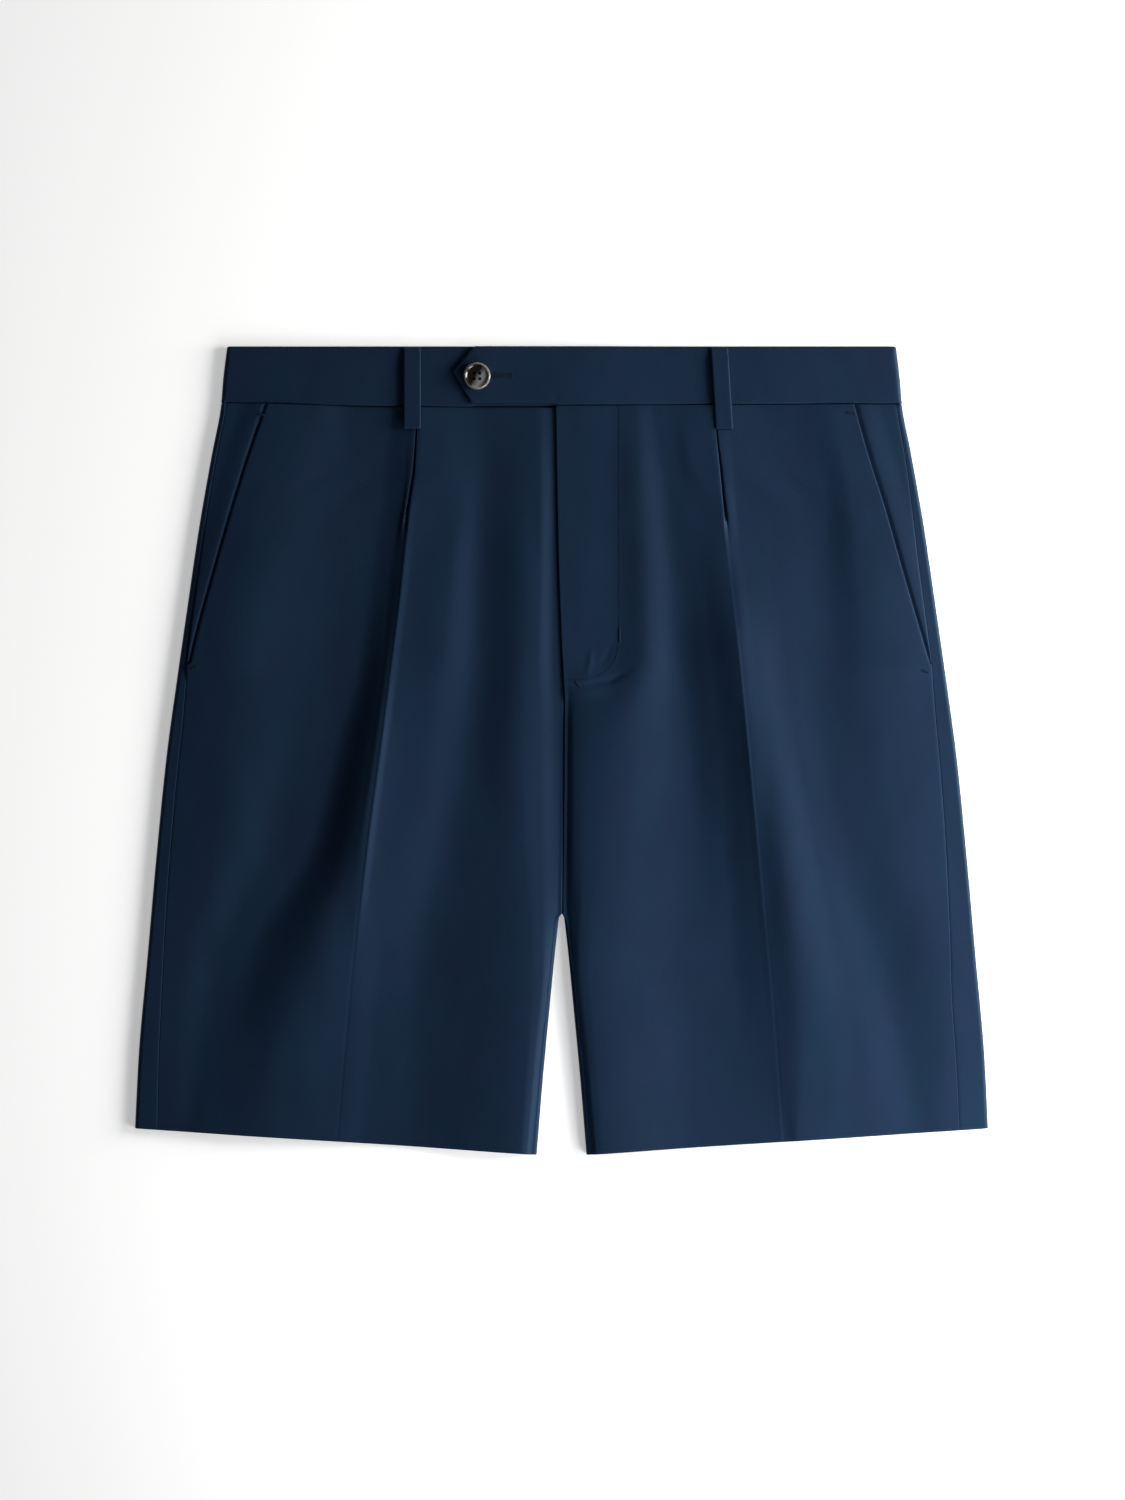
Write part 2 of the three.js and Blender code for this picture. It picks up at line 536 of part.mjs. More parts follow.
function frontSection(side, section) {
  const yAt = (a) => sectionY(side, a, section);
  const crest = meet(side, section, (y) => pleatLine(side, y));
  const y = yAt(crest);
  const innerY = yAt(0);
  const innerEnd = frontInnerEnd(side, innerY);
  const turned = inseamTurn(innerY);
  const turn = innerTurn(innerEnd, drape(side, innerEnd, innerY), turned, 1);
  const depth = read(PLEAT, 'y', y, 'depth');
  const line = (name) => meet(side, section, (at) => read(FOLD_LINES[sideName(side)], 'y', at, name));
  const outerEnd = meet(side, section, (at) => frontOuterEnd(side, at));
  const pleat = pleatPoints(crest, depth, THREE.MathUtils.degToRad(read(PLEAT, 'y', y, 'turn')));
  const pleatEnd = pleat[pleat.length - 1];
  const dropAt = (point) => ({ ...point, z: -pleatDrop(yAt(point.a)) });
  const outside = (from, to, count) => stretch(from, to, count).map(dropAt);
  const near = Math.max(pleatEnd.a + PLEAT_CLEAR, crest - PLEAT_CLEAR);
  const past = crest + read(PLEAT, 'y', y, 'lip') + 1;
  const points = [
    ...turn.points,
    ...stretch(turn.start, line('flat'), 2),
    ...stretch(line('flat'), line('pin'), 2),
    ...stretch(line('pin'), line('swell'), 1),
    ...stretch(line('swell'), line('valley'), 3),
    ...stretch(line('valley'), line('shoulder'), 2),
    ...stretch(line('shoulder'), crest - depth - PLEAT_LAP, 2),
    ...stretch(crest - depth - PLEAT_LAP, pleat[0].a, 3),
    ...pleat,
    ...outside(pleatEnd.a, near, 2).slice(1),
    ...outside(near, past, 3),
    ...outside(past, line('shelf'), 2),
    ...outside(line('shelf'), line('foot'), 3),
    ...outside(line('foot'), line('hollow'), 2),
    ...outside(line('hollow'), line('ridge'), 2),
    ...outside(line('ridge'), outerEnd, 3),
    dropAt(clothPoint(outerEnd, 0, 0)),
  ];
  return { points, yAt, flatFrom: turn.start };
}

function frontGeometry(side) {
  const sections = sectionsOf(side).map((section) => frontSection(side, section));
  const flatFrom = new Map();
  sections.forEach((section) => section.points.forEach((point) => flatFrom.set(point, section.flatFrom)));
  return clothWall(side, sections, CLOTH, (a, y, point) => {
    const at = Math.max(a, flatFrom.get(point));
    return drape(side, at, y) + lapLift(side, at, y) - CLOTH / 2;
  });
}

// ---------------------------------------------------------------- backs

const EDGE_STEPS = 5;

// The rounded side edge, from the underside up to the front.
function edgeTurn(half, thickness) {
  const radius = (EDGE_RISE - thickness) / 2;
  const centre = half - EDGE_RISE / 2;
  return Array.from({ length: EDGE_STEPS }, (_, k) => {
    const angle = Math.PI * (1 - k / EDGE_STEPS);
    const a = centre + radius * Math.sin(angle);
    return clothPoint(a, EDGE_RISE / 2 + radius * Math.cos(angle), angle);
  });
}

// Height of the shorts' upper side where no piece lies on another.
function laidHeight(side, a, y) {
  return drape(side, a, y) - pleatDrop(y);
}

function backSection(side, section) {
  const yAt = (a) => sectionY(side, a, section);
  const innerY = yAt(0);
  const innerEnd = backInnerEnd(innerY);
  const rise = drape(side, frontInnerEnd(side, innerY), innerY);
  const turn = innerTurn(innerEnd, rise, inseamTurn(innerY), -1);
  const half = meet(side, section, halfWidth);
  const centre = half - EDGE_RISE / 2;
  const seam = meet(side, section, (y) => sideSeam(side, y));
  const under = (point) => ({ ...point, z: point.z + CLOTH / 2, na: -point.na, nz: -point.nz });
  const above = (a) => clothPoint(a, laidHeight(side, a, yAt(a)) - CLOTH / 2, 0);
  const points = [
    ...turn.points.map(under),
    ...stretch(turn.start, centre, 3).map(under),
    ...edgeTurn(half, CLOTH),
    above(centre),
    above((centre + seam) / 2),
    above(seam),
  ];
  return { points, yAt };
}

function backGeometry(side) {
  const sections = sectionsOf(side).map((section) => backSection(side, section));
  return clothWall(side, sections, CLOTH, () => 0);
}

// ---------------------------------------------------------------- pocket facings

// Where the swell beside the mouth starts, stands highest and ends, outwards from the mouth.
const SWELL_START = 0.4;
const SWELL_TOP = 2.8;
const SWELL_END = 18;

// The facing swells beside the pocket mouth, so that only a narrow gap shows there.
function facingHeight(side, a, y) {
  const out = a - pocketMouth(side, y);
  const swell = smoothstep(SWELL_START, SWELL_TOP, out) * (1 - smoothstep(SWELL_TOP, SWELL_END, out));
  return laidHeight(side, a, y) + FACING_SWELL * swell;
}

function facingGeometry(side) {
  const bottom = sectionThrough(side, 232, POCKET_TIP_Y + 1);
  const inFront = sectionsOf(side).filter((section) => section >= bottom - 1e-6);
  const sections = inFront.map((section) => {
    const yAt = (a) => sectionY(side, a, section);
    const seam = meet(side, section, (y) => sideSeam(side, y)) - SEAM_GAP;
    const mouth = meet(side, section, (y) => pocketMouth(side, y));
    const top = Math.min(mouth + SWELL_TOP, (mouth + seam) / 2);
    const points = [
      ...stretch(mouth - POCKET_UNDERLAP, mouth, 2),
      ...stretch(mouth, top, 2),
      ...stretch(top, seam, 3),
      clothPoint(seam, 0, 0),
    ];
    return { points, yAt };
  });
  return clothWall(side, sections, CLOTH, (a, y) => facingHeight(side, a, y) - CLOTH / 2);
}

// ---------------------------------------------------------------- waistband

// Front end of the left half: the pointed tab that buttons over the right half.
const TAB_END = [
  { y: 216, a: -56.2 },
  { y: 220, a: -58.6 },
  { y: 237, a: -68.8 },
  { y: 250, a: -58.0 },
  { y: 254.2, a: -54.2 },
];

// From the waist seam to the top edge: share of the height, and of the cloth's thickness.
const BAND_ROWS = [
  { share: 0, thick: 1 },
  { share: 0.28, thick: 1 },
  { share: 0.54, thick: 1 },
  { share: 0.8, thick: 1 },
  { share: 0.96, thick: 0.9 },
  { share: 1, thick: 0.5 },
];

function tabEnd(y) {
  const above = TAB_END.findIndex((row) => row.y >= y);
  const i = clamp(above, 1, TAB_END.length - 1);
  const [low, high] = [TAB_END[i - 1], TAB_END[i]];
  return THREE.MathUtils.lerp(low.a, high.a, clamp((y - low.y) / (high.y - low.y), 0, 1));
}

function bandFrontEnd(side, y) {
  return side > 0 ? tabEnd(y) : -FLY_UNDERLAP;
}

function bandLift(side, a) {
  return side > 0 ? TAB_LIFT * (1 - smoothstep(FLY_UNDERLAP + 2, TAB_RAMP_END, a)) : 0;
}

function bandGeometry(side) {
  const outer = [];
  const inner = [];
  for (const row of BAND_ROWS) {
    const bottom = waistSeamY(side, 100) + SEAM_GAP / 2;
    const middleY = bottom + row.share * (WAIST_TOP - bottom);
    const yAt = (a) => {
      const seam = waistSeamY(side, Math.abs(a)) + SEAM_GAP / 2;
      return seam + row.share * (WAIST_TOP - seam);
    };
    const half = halfWidth(middleY);
    const centre = half - EDGE_RISE / 2;
    const end = bandFrontEnd(side, middleY);
    const under = stretch(SEAM_GAP / 2, centre, 3).map((p) => ({ ...p, z: BAND_CLOTH / 2, nz: -1 }));
    const lifted = side > 0 ? TAB_RAMP_STOPS : [];
    const stops = [centre, 140, TAB_RAMP_END, ...lifted, 0.5 * end, end];
    const above = stops.map((a) => {
      return clothPoint(a, EDGE_RISE - BAND_CLOTH / 2 + bandLift(side, a), 0);
    });
    const points = [...under, ...edgeTurn(half, BAND_CLOTH), ...above];
    const face = (sign) => points.map((p) => {
      const out = (sign * row.thick * BAND_CLOTH) / 2;
      return [side * (p.a + out * p.na), yAt(p.a), p.z + out * p.nz];
    });
    outer.push(face(1));
    inner.push(face(-1));
  }
  return wallGeometry(outer, inner);
}

// ---------------------------------------------------------------- belt loops

// Height of a loop's inner face along y. Its ends lie on the waistband and on the front.
function loopHeight(seat, y) {
  const crown = EDGE_RISE + LOOP_CLEAR;
  const atTop = 1 - smoothstep(LOOP_TOP_Y - 1.5, LOOP_TOP_Y - 9.5, y);
  const atFoot = 1 - smoothstep(LOOP_FOOT_Y + 2.5, LOOP_FOOT_Y + 14, y);
  return crown + (SEAM_GAP - LOOP_CLEAR) * atTop + (seat + SEAM_GAP - crown) * atFoot;
}

function loopGeometry({ side, top, bottom, seat }) {
  const steps = 24;
  const outer = [];
  const inner = [];
  for (let i = 0; i <= steps; i += 1) {
    const share = i / steps;
    const y = THREE.MathUtils.lerp(LOOP_FOOT_Y, LOOP_TOP_Y, share);
    const middle = side * THREE.MathUtils.lerp(bottom, top, share);
    const slope = (loopHeight(seat, y + 0.2) - loopHeight(seat, y - 0.2)) / 0.4;
    const length = Math.hypot(1, slope);
    const [normalY, normalZ] = [-slope / length, 1 / length];
    const edges = [-LOOP_WIDTH / 2, 0, LOOP_WIDTH / 2];
    const z = loopHeight(seat, y);
    inner.push(edges.map((offset) => [middle + offset, y, z]));
    outer.push(edges.map((offset) => {
      return [middle + offset, y + LOOP_CLOTH * normalY, z + LOOP_CLOTH * normalZ];
    }));
  }
  return wallGeometry(outer, inner);
}

// ---------------------------------------------------------------- button

// Profile of the button: radius and height above its seat.
const BUTTON_PROFILE = [
  { r: 0, z: 0 },
  { r: 6.6, z: 0 },
  { r: 8.0, z: 0.7 },
  { r: BUTTON_RADIUS, z: 1.5 },
  { r: 8.35, z: 2.5 },
  { r: 7.7, z: BUTTON_THICK },
  { r: 6.9, z: 2.8 },
  { r: 6.1, z: 2.1 },
  { r: 4.8, z: 1.9 },
  { r: 0, z: 1.9 },
];

function toManifold(geometry) {
  geometry.deleteAttribute('normal');
  geometry.deleteAttribute('uv');
  const merged = mergeVertices(geometry, 1e-4);
  const index = Array.from(merged.index.array);
  const triangles = [];
  for (let f = 0; f < index.length; f += 3) {
    const [p, q, r] = index.slice(f, f + 3);
    if (p !== q && q !== r && r !== p) triangles.push(p, q, r);
  }
  const vertProperties = new Float32Array(merged.attributes.position.array);
  const triVerts = new Uint32Array(triangles);
  return new wasm.Manifold(new wasm.Mesh({ numProp: 3, vertProperties, triVerts }));
}

function fromManifold(solid) {
  const mesh = solid.getMesh();
  const geometry = new THREE.BufferGeometry();
  geometry.setAttribute('position', new THREE.Float32BufferAttribute(mesh.vertProperties, 3));
  geometry.setIndex(Array.from(mesh.triVerts));
  return geometry;
}

function buttonGeometry() {
  const profile = BUTTON_PROFILE.map(({ r, z }) => new THREE.Vector2(r, z));
  const lathe = new THREE.LatheGeometry(profile, 36);
  lathe.rotateX(Math.PI / 2);
  let solid = toManifold(lathe);
  for (const [i, j] of [[1, 1], [-1, 1], [-1, -1], [1, -1]]) {
    const hole = new THREE.CylinderGeometry(BUTTON_HOLE_RADIUS, BUTTON_HOLE_RADIUS, 2 * BUTTON_THICK, 12);
    hole.rotateX(Math.PI / 2);
    hole.translate(i * BUTTON_HOLE_OFFSET, j * BUTTON_HOLE_OFFSET, BUTTON_THICK / 2);
    solid = solid.subtract(toManifold(hole));
  }
  return fromManifold(solid);
}

// ---------------------------------------------------------------- the part

const navyCloth = new THREE.MeshStandardMaterial({ color: '#223650', roughness: 0.85, metalness: 0 });
const navyBand = new THREE.MeshStandardMaterial({ color: '#1f3049', roughness: 0.85, metalness: 0 });
const navyLoop = new THREE.MeshStandardMaterial({ color: '#25395a', roughness: 0.85, metalness: 0 });
const darkHorn = new THREE.MeshStandardMaterial({ color: '#2a2724', roughness: 0.35, metalness: 0 });

function piece(name, geometry, material) {
  const mesh = new THREE.Mesh(geometry, material);
  mesh.name = name;
  return mesh;
}

const shorts = new THREE.Group();
for (const side of [-1, 1]) {
  const half = sideName(side);
  shorts.add(piece(`front_${half}`, frontGeometry(side), navyCloth));
  shorts.add(piece(`back_${half}`, backGeometry(side), navyCloth));
  shorts.add(piece(`pocket_facing_${half}`, facingGeometry(side), navyCloth));
  shorts.add(piece(`waistband_${half}`, bandGeometry(side), navyBand));
}
for (const loop of BELT_LOOPS) shorts.add(piece(loop.name, loopGeometry(loop), navyLoop));

const button = piece('button', buttonGeometry(), darkHorn);
button.position.set(BUTTON_X, BUTTON_Y, EDGE_RISE + TAB_LIFT + SEAM_GAP);
shorts.add(button);

export default shorts;
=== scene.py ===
"""Dresses a pair of pleated tailored shorts that lie flat on their back.

The frame gives the solid pieces. Each cloth piece is made again here as a finer wall of cloth,
with soft folds, rounded edges and stitching, and stands in for its solid. Tables are in
millimetres, in the garment's own frame: +X towards the wearer's left, +Y from hem to waist.
"a" is the distance outwards from the middle, and side is +1 for the left half, -1 for the right.
"""

import math

import bpy
import numpy as np
from mathutils import Euler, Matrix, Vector


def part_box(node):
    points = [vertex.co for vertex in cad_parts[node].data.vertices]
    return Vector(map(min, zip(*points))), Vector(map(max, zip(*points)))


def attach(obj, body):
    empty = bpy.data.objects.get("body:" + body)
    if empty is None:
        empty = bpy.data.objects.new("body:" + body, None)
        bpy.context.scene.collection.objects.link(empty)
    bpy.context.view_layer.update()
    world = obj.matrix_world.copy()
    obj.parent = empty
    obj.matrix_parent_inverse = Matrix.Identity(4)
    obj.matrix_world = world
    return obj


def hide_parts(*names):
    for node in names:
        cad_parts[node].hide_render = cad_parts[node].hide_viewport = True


bl_info = {
    "name": "Pleated Tailored Shorts",
    "version": (1, 0, 0),
    "blender": (4, 5, 0),
    "location": "3D View > Sidebar > Shorts",
    "description": "Dresses tailored shorts with pleats, seams, stitching and a horn button",
    "category": "Object",
}

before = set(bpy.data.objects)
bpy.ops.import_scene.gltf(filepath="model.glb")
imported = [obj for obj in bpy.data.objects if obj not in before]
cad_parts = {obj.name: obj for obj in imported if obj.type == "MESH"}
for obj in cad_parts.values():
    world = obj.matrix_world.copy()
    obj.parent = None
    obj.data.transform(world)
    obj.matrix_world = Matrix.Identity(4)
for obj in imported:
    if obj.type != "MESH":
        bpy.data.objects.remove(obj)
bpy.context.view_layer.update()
MM = 0.001
SIDES = {"right": -1, "left": 1}

# ------------------------------------------------------------------ tables


def table(names, *rows):
    """Columns of numbers by name, from rows."""
    return dict(zip(names.split(), np.array(rows, float).T))


OUTLINE = table(
    "y half",
    (-238, 268.5), (-192, 266.2), (-129, 260.6), (-66, 255.0), (-3, 248.6), (44, 242.2),
    (92, 235.3), (139, 228.4), (186, 220.2), (218, 214.2), (233, 213.0), (254.2, 210.5),
)
LONG_EDGES = table(
    "a hem seam_right seam_left",
    (0, -255.3, 215.6, 216.9),
    (100, -248.8, 216.0, 217.4),
    (215, -241.3, 218.6, 217.8),
    (268, -237.8, 218.8, 217.8),
)
INSEAM = table("y edge", (-256, 15.6), (-208, 11.7), (-160, 7.2), (-129, 4.2), (-102.5, 1.2))
CENTRE_FRONT = table("y x", (-102.5, 0.5), (30, 1.6), (65, 0.0), (126, -2.2), (217, -3.8))
SIDE_SEAM = table(
    "y right left",
    (-240, 14.5, 18.3), (-176, 12.5, 18.4), (-113, 9.8, 15.2), (-57, 8.7, 12.8),
    (10, 8.0, 10.9), (60, 5.4, 8.3), (120, 4.4, 7.4), (183, 3.4, 4.6), (219, 3.4, 3.8),
)
POCKET_MOUTH = table(
    "y right left",
    (54, 233.4, 231.6), (75, 228.5, 225.4), (113, 218.0, 214.4),
    (151, 207.1, 203.7), (189, 195.2, 191.8), (218, 185.0, 183.8),
)
# Line of the pleat's edge, depth of its fold, how far it is folded over in degrees, and how far
# beyond its edge the cloth levels off.
PLEAT = table(
    "y right left depth turn lip",
    (-250, 140.6, 139.2, 1.6, 6, 3.0),
    (-160, 132.8, 132.6, 1.6, 6, 3.0),
    (-60, 121.6, 123.2, 1.8, 7, 3.0),
    (10, 112.3, 116.4, 1.9, 6, 3.0),
    (60, 106.0, 111.4, 2.0, 4, 3.0),
    (100, 101.0, 107.0, 2.1, 4, 3.0),
    (125, 98.4, 104.0, 2.2, 5, 3.0),
    (138, 97.1, 102.7, 2.2, 20, 3.0),
    (148, 95.9, 101.8, 1.9, 90, 3.0),
    (156, 94.8, 101.0, 2.5, 160, 2.8),
    (164, 93.6, 100.2, 6.0, 174, 2.6),
    (176, 92.0, 99.1, 12.0, 179, 2.4),
    (200, 90.4, 96.6, 15.0, 180, 1.8),
    (218, 89.6, 95.4, 15.0, 180, 1.6),
)
# Lines of the soft folds. From the middle: the flat strip beside the fly, the rise next to it, the
# valley and the shoulder before the pleat; then the flank from the shelf down to its foot, the
# hollow below it and the ridge on the thigh.
FOLD_LINES = {
    "right": table(
        "y flat pin swell valley shoulder shelf foot hollow ridge",
        (-250, 19, 22, 26, 104, 124, 196, 226, 240, 247),
        (-190, 13, 17, 22, 96, 118, 176, 216, 228, 243),
        (-130, 7, 12, 19, 88, 110, 152, 200, 212, 237),
        (-60, 4, 13, 24, 70, 96, 131, 159, 180, 214),
        (10, 4, 14, 26, 58, 84, 119, 140, 160, 206),
        (60, 5, 15, 24, 53, 76, 112, 127, 146, 204),
        (110, 5, 14, 22, 52, 71, 109, 122, 136, 194),
        (160, 5, 14, 22, 50, 64, 100, 114, 128, 178),
        (218, 5, 14, 22, 48, 60, 97, 108, 132, 156),
    ),
    "left": table(
        "y flat pin swell valley shoulder shelf foot hollow ridge",
        (-250, 19, 22, 27, 88, 116, 148, 198, 226, 243),
        (-190, 13, 17, 22, 90, 112, 152, 190, 216, 241),
        (-130, 7, 12, 18, 84, 106, 148, 176, 200, 236),
        (-60, 8, 15, 24, 84, 102, 138, 160, 180, 210),
        (10, 8, 18, 34, 80, 97, 128, 148, 166, 198),
        (60, 10, 36, 52, 74, 92, 122, 142, 164, 192),
        (110, 10, 36, 52, 71, 86, 116, 140, 167, 187),
        (160, 10, 34, 49, 66, 75, 110, 138, 165, 182),
        (218, 10, 32, 46, 58, 67, 108, 128, 150, 172),
    ),
}
FOLD_HEIGHTS = {
    "right": table(
        "y middle flat pin swell valley shoulder lap crest lip shelf foot hollow ridge",
        (-250, 5.0, 6.4, 7.8, 8.4, 3.0, 3.5, 4.6, 5.0, 5.1, 7.2, 6.2, 5.4, 5.2),
        (-190, 5.0, 6.8, 8.4, 9.0, 3.0, 3.6, 4.9, 5.3, 5.5, 7.8, 4.7, 4.2, 4.8),
        (-130, 4.4, 6.6, 8.2, 8.7, 3.2, 5.1, 7.6, 8.4, 8.7, 9.9, 3.1, 2.9, 4.6),
        (-60, 4.2, 5.0, 6.5, 7.4, 4.2, 7.3, 10.2, 11.8, 11.6, 10.6, 3.0, 2.9, 5.8),
        (10, 4.2, 4.7, 6.4, 7.3, 3.5, 6.6, 9.0, 10.6, 10.2, 9.1, 3.0, 2.9, 6.0),
        (60, 4.6, 4.8, 6.7, 7.2, 3.6, 6.9, 7.7, 8.6, 7.8, 6.8, 3.0, 2.9, 6.2),
        (110, 4.6, 4.8, 6.5, 6.9, 3.5, 6.2, 6.8, 7.6, 6.5, 4.7, 3.1, 3.0, 6.1),
        (160, 4.6, 4.8, 6.2, 6.0, 3.8, 5.1, 6.3, 6.8, 5.9, 4.9, 3.3, 3.2, 5.4),
        (218, 4.9, 5.0, 5.6, 5.3, 4.6, 4.6, 5.0, 6.0, 5.7, 5.2, 4.0, 3.6, 4.7),
    ),
    "left": table(
        "y middle flat pin swell valley shoulder lap crest lip shelf foot hollow ridge",
        (-250, 5.0, 7.0, 8.4, 8.8, 4.1, 4.6, 5.4, 5.8, 5.9, 6.8, 5.6, 5.0, 5.3),
        (-190, 5.0, 7.4, 8.8, 9.2, 4.0, 4.9, 6.6, 7.2, 7.6, 9.2, 7.2, 4.7, 5.8),
        (-130, 4.2, 7.0, 8.6, 9.0, 3.4, 3.6, 6.2, 7.2, 7.6, 9.9, 6.2, 3.8, 5.9),
        (-60, 3.4, 7.1, 8.0, 8.2, 3.1, 4.4, 8.0, 9.4, 9.6, 11.0, 7.8, 6.2, 7.1),
        (10, 3.4, 7.0, 8.2, 8.8, 3.8, 6.4, 10.4, 12.1, 11.8, 10.9, 7.7, 6.4, 7.5),
        (60, 4.6, 4.6, 6.2, 7.8, 4.4, 7.4, 11.4, 12.6, 12.2, 10.9, 7.6, 6.4, 7.8),
        (110, 4.6, 4.6, 5.6, 7.2, 4.8, 6.1, 8.5, 9.1, 9.0, 8.4, 6.9, 5.6, 6.9),
        (160, 4.6, 4.6, 6.2, 7.4, 5.4, 5.8, 7.2, 7.6, 6.6, 5.7, 4.8, 4.2, 5.5),
        (218, 5.0, 5.0, 5.7, 5.8, 5.1, 5.1, 5.4, 6.0, 5.7, 5.2, 4.4, 4.2, 4.6),
    ),
}
TAB_END = table("y a", (216, -56.2), (220, -58.6), (237, -68.8), (250, -58.0), (254.2, -54.2))

# Soft creases on the upper side, each a row of (x, y) places, with the half width of its bell
# and its height in mm. A height below nought is a trough.
CREASES = (
    {"path": ((4, 40), (14, 41), (30, 43.5), (43, 50)), "spread": 2.0, "height": -0.9},
    {"path": ((19, 64), (18, 56), (16, 47)), "spread": 1.8, "height": 0.4},
    {"path": ((31, 66), (28, 58), (23, 52)), "spread": 1.8, "height": -0.25},
)

# Where the fly is sewn down: a long straight run that curves in to the foot of the fly.
FLY_STITCH = ((36.4, 216.0), (36.4, 170.0), (36.5, 120.0), (36.4, 76.0), (35.6, 64.0),
              (32.4, 55.0), (26.5, 48.6), (18.0, 45.2), (9.0, 44.2), (3.2, 44.0))

# ------------------------------------------------------------------ sizes and colours


def length(name, description, default):
    """A size in metres that a user may change."""
    return bpy.props.FloatProperty(
        name=name, description=description, default=default, min=0.0, unit="LENGTH", precision=5
    )


def colour(name, description, hex_code):
    """A colour that a user may change, from its sRGB hex code."""
    return bpy.props.FloatVectorProperty(
        name=name, description=description, subtype="COLOR", size=3,
        default=linear(hex_code), min=0.0, max=1.0,
    )


def linear(hex_code):
    """Linear red, green and blue of an sRGB hex code."""
    channels = [int(hex_code[i:i + 2], 16) / 255 for i in (1, 3, 5)]
    return tuple(c / 12.92 if c <= 0.04045 else ((c + 0.055) / 1.055) ** 2.4 for c in channels)


class ShortsSizes(bpy.types.PropertyGroup):
    cloth: length("Cloth", "Thickness of one layer of suiting", 0.0011)
    band_cloth: length("Waistband cloth", "Thickness of the interlined waistband", 0.0020)
    loop_cloth: length("Loop cloth", "Thickness of a belt loop", 0.0013)
    seam_gap: length("Seam gap", "Space between two pieces that are sewn together", 0.0003)
    edge_rise: length("Edge rise", "Height of the rounded side edges", 0.0050)
    pleat_pitch: length("Pleat pitch", "From one layer of the folded pleat to the next", 0.0014)
    grid_step: length("Grid step", "Largest step between points of the cloth", 0.0024)
    stitch_pitch: length("Stitch pitch", "From one stitch to the next", 0.0026)
    thread: length("Thread", "Thickness of the sewing thread", 0.00045)
    loop_width: length("Loop width", "Width of a belt loop", 0.0108)
    loop_clear: length("Loop clearance", "An empty loop lies this close to the waistband", 0.0014)
    twill_pitch: length("Twill pitch", "From one rib of the weave to the next", 0.0009)


class ShortsColours(bpy.types.PropertyGroup):
    cloth: colour("Suiting", "Worsted suiting", "#122033")
    cloth_pale: colour("Suiting, pale threads", "Lighter threads of the weave", "#192b44")
    thread: colour("Thread", "Sewing thread", "#131d2b")
    horn_dark: colour("Horn, dark", "Dark side of the button", "#17120f")
    horn_pale: colour("Horn, pale", "Pale side of the button", "#858488")
    horn_rim: colour("Horn, rim", "Greyish rim of the button", "#74766e")
    floor: colour("Floor", "The surface that the shorts lie on", "#f6f6f5")


# ------------------------------------------------------------------ reading the tables


def smoothstep(start, end, value):
    t = np.clip((np.asarray(value, float) - start) / (end - start), 0, 1)
    return t * t * (3 - 2 * t)


def smooth_line(xs, ys, x):
    """A smooth line through points, flat at each local top and bottom. The points are numbers, or
    each is an array of x's own shape."""
    x = np.asarray(x, float)
    xs = np.stack([np.broadcast_to(v, x.shape) for v in xs])
    ys = np.stack([np.broadcast_to(v, x.shape) for v in ys])
    span = np.diff(xs, axis=0)
    rise = np.diff(ys, axis=0) / span
    before, after = rise[:-1], rise[1:]
    same_way = before * after > 0
    inner = np.where(same_way, 2 * before * after / np.where(same_way, before + after, 1), 0)
    slope = np.concatenate([rise[:1], inner, rise[-1:]])
    at = np.clip((x >= xs[1:-1]).sum(axis=0), 0, len(span) - 1)[None]

    def pick(values, shift=0):
        return np.take_along_axis(values, at + shift, 0)[0]

    h = pick(span)
    t = np.clip((x - pick(xs)) / h, 0, 1)
    y0, y1 = pick(ys), pick(ys, 1)
    m0, m1 = pick(slope) * h, pick(slope, 1) * h
    return y0 + t * m0 + t * t * (3 * (y1 - y0) - 2 * m0 - m1) + t ** 3 * (m0 + m1 - 2 * (y1 - y0))


def read(rows, at, column, key="y"):
    """One column of a table, read smoothly at any places."""
    return smooth_line(rows[key], rows[column], at)


def spread(start, end, count):
    """Even places from start up to end, without end, as columns."""
    return start + (end - start) * np.arange(count) / count


# ------------------------------------------------------------------ the garment's lines

INNER_FOLDS = ("flat", "pin", "swell", "valley", "shoulder")
OUTER_FOLDS = ("shelf", "foot", "hollow", "ridge")
# Steps of a front's grid from each line of its folds to the next, on both sides of the pleat.
INNER_STEPS = (6, 24, 12, 12, 10, 10, 8)
OUTER_STEPS = (4, 9, 7, 12, 12, 14)
CROTCH_Y = -102.5
# The inseam goes from flat to fully turned over this length below the crotch.
INSEAM_TURN = 14.0
# The lap of the fly starts to rise at its join and is whole at its end. Its stitching curves in
# below its turn.
FLY_JOIN_Y = 28.0
FLY_END_Y = 44.0
FLY_TURN_Y = 82.0
FLY_UNDERLAP = 8.0
FLY_STITCH_A = 36.0
# Lengths over which the cloth climbs on to the pocket facing and the tab on to the other band.
POCKET_RAMP = 60.0
TAB_RAMP = 60.0
POCKET_TIP_A = 232.0
POCKET_TIP_Y = 54.0
POCKET_UNDERLAP = 12.0
# The facing rises from the first distance past the pocket mouth to the second, and falls away
# from the third to the fourth.
FACING_SWELL = 1.0
SWELL_PLACES = (0.4, 2.6, 3.0, 18.0)
PLEAT_LAP = 3.0
PLEAT_CLEAR = 0.3
WAIST_SEAM_Y = 217.0
WAIST_TOP = 254.2
WAIST_SEAM_LAP = 0.02
WAIST_SEAM_OPEN = 0.5
TAB_SEAM_OPEN = 1.2
# Where the waist seam opens wider under the tab: where it starts to, and where it has.
TAB_SEAM_FROM = {"right": (57, 54), "left": (-3, -6)}
SIDE_SEAM_LAP = 0.3
# Depth of the tuck at the waist seam, and how far below the seam it starts and ends.
WAIST_TUCK = 0.35
TUCK_START, TUCK_END = 2.6, 0.2
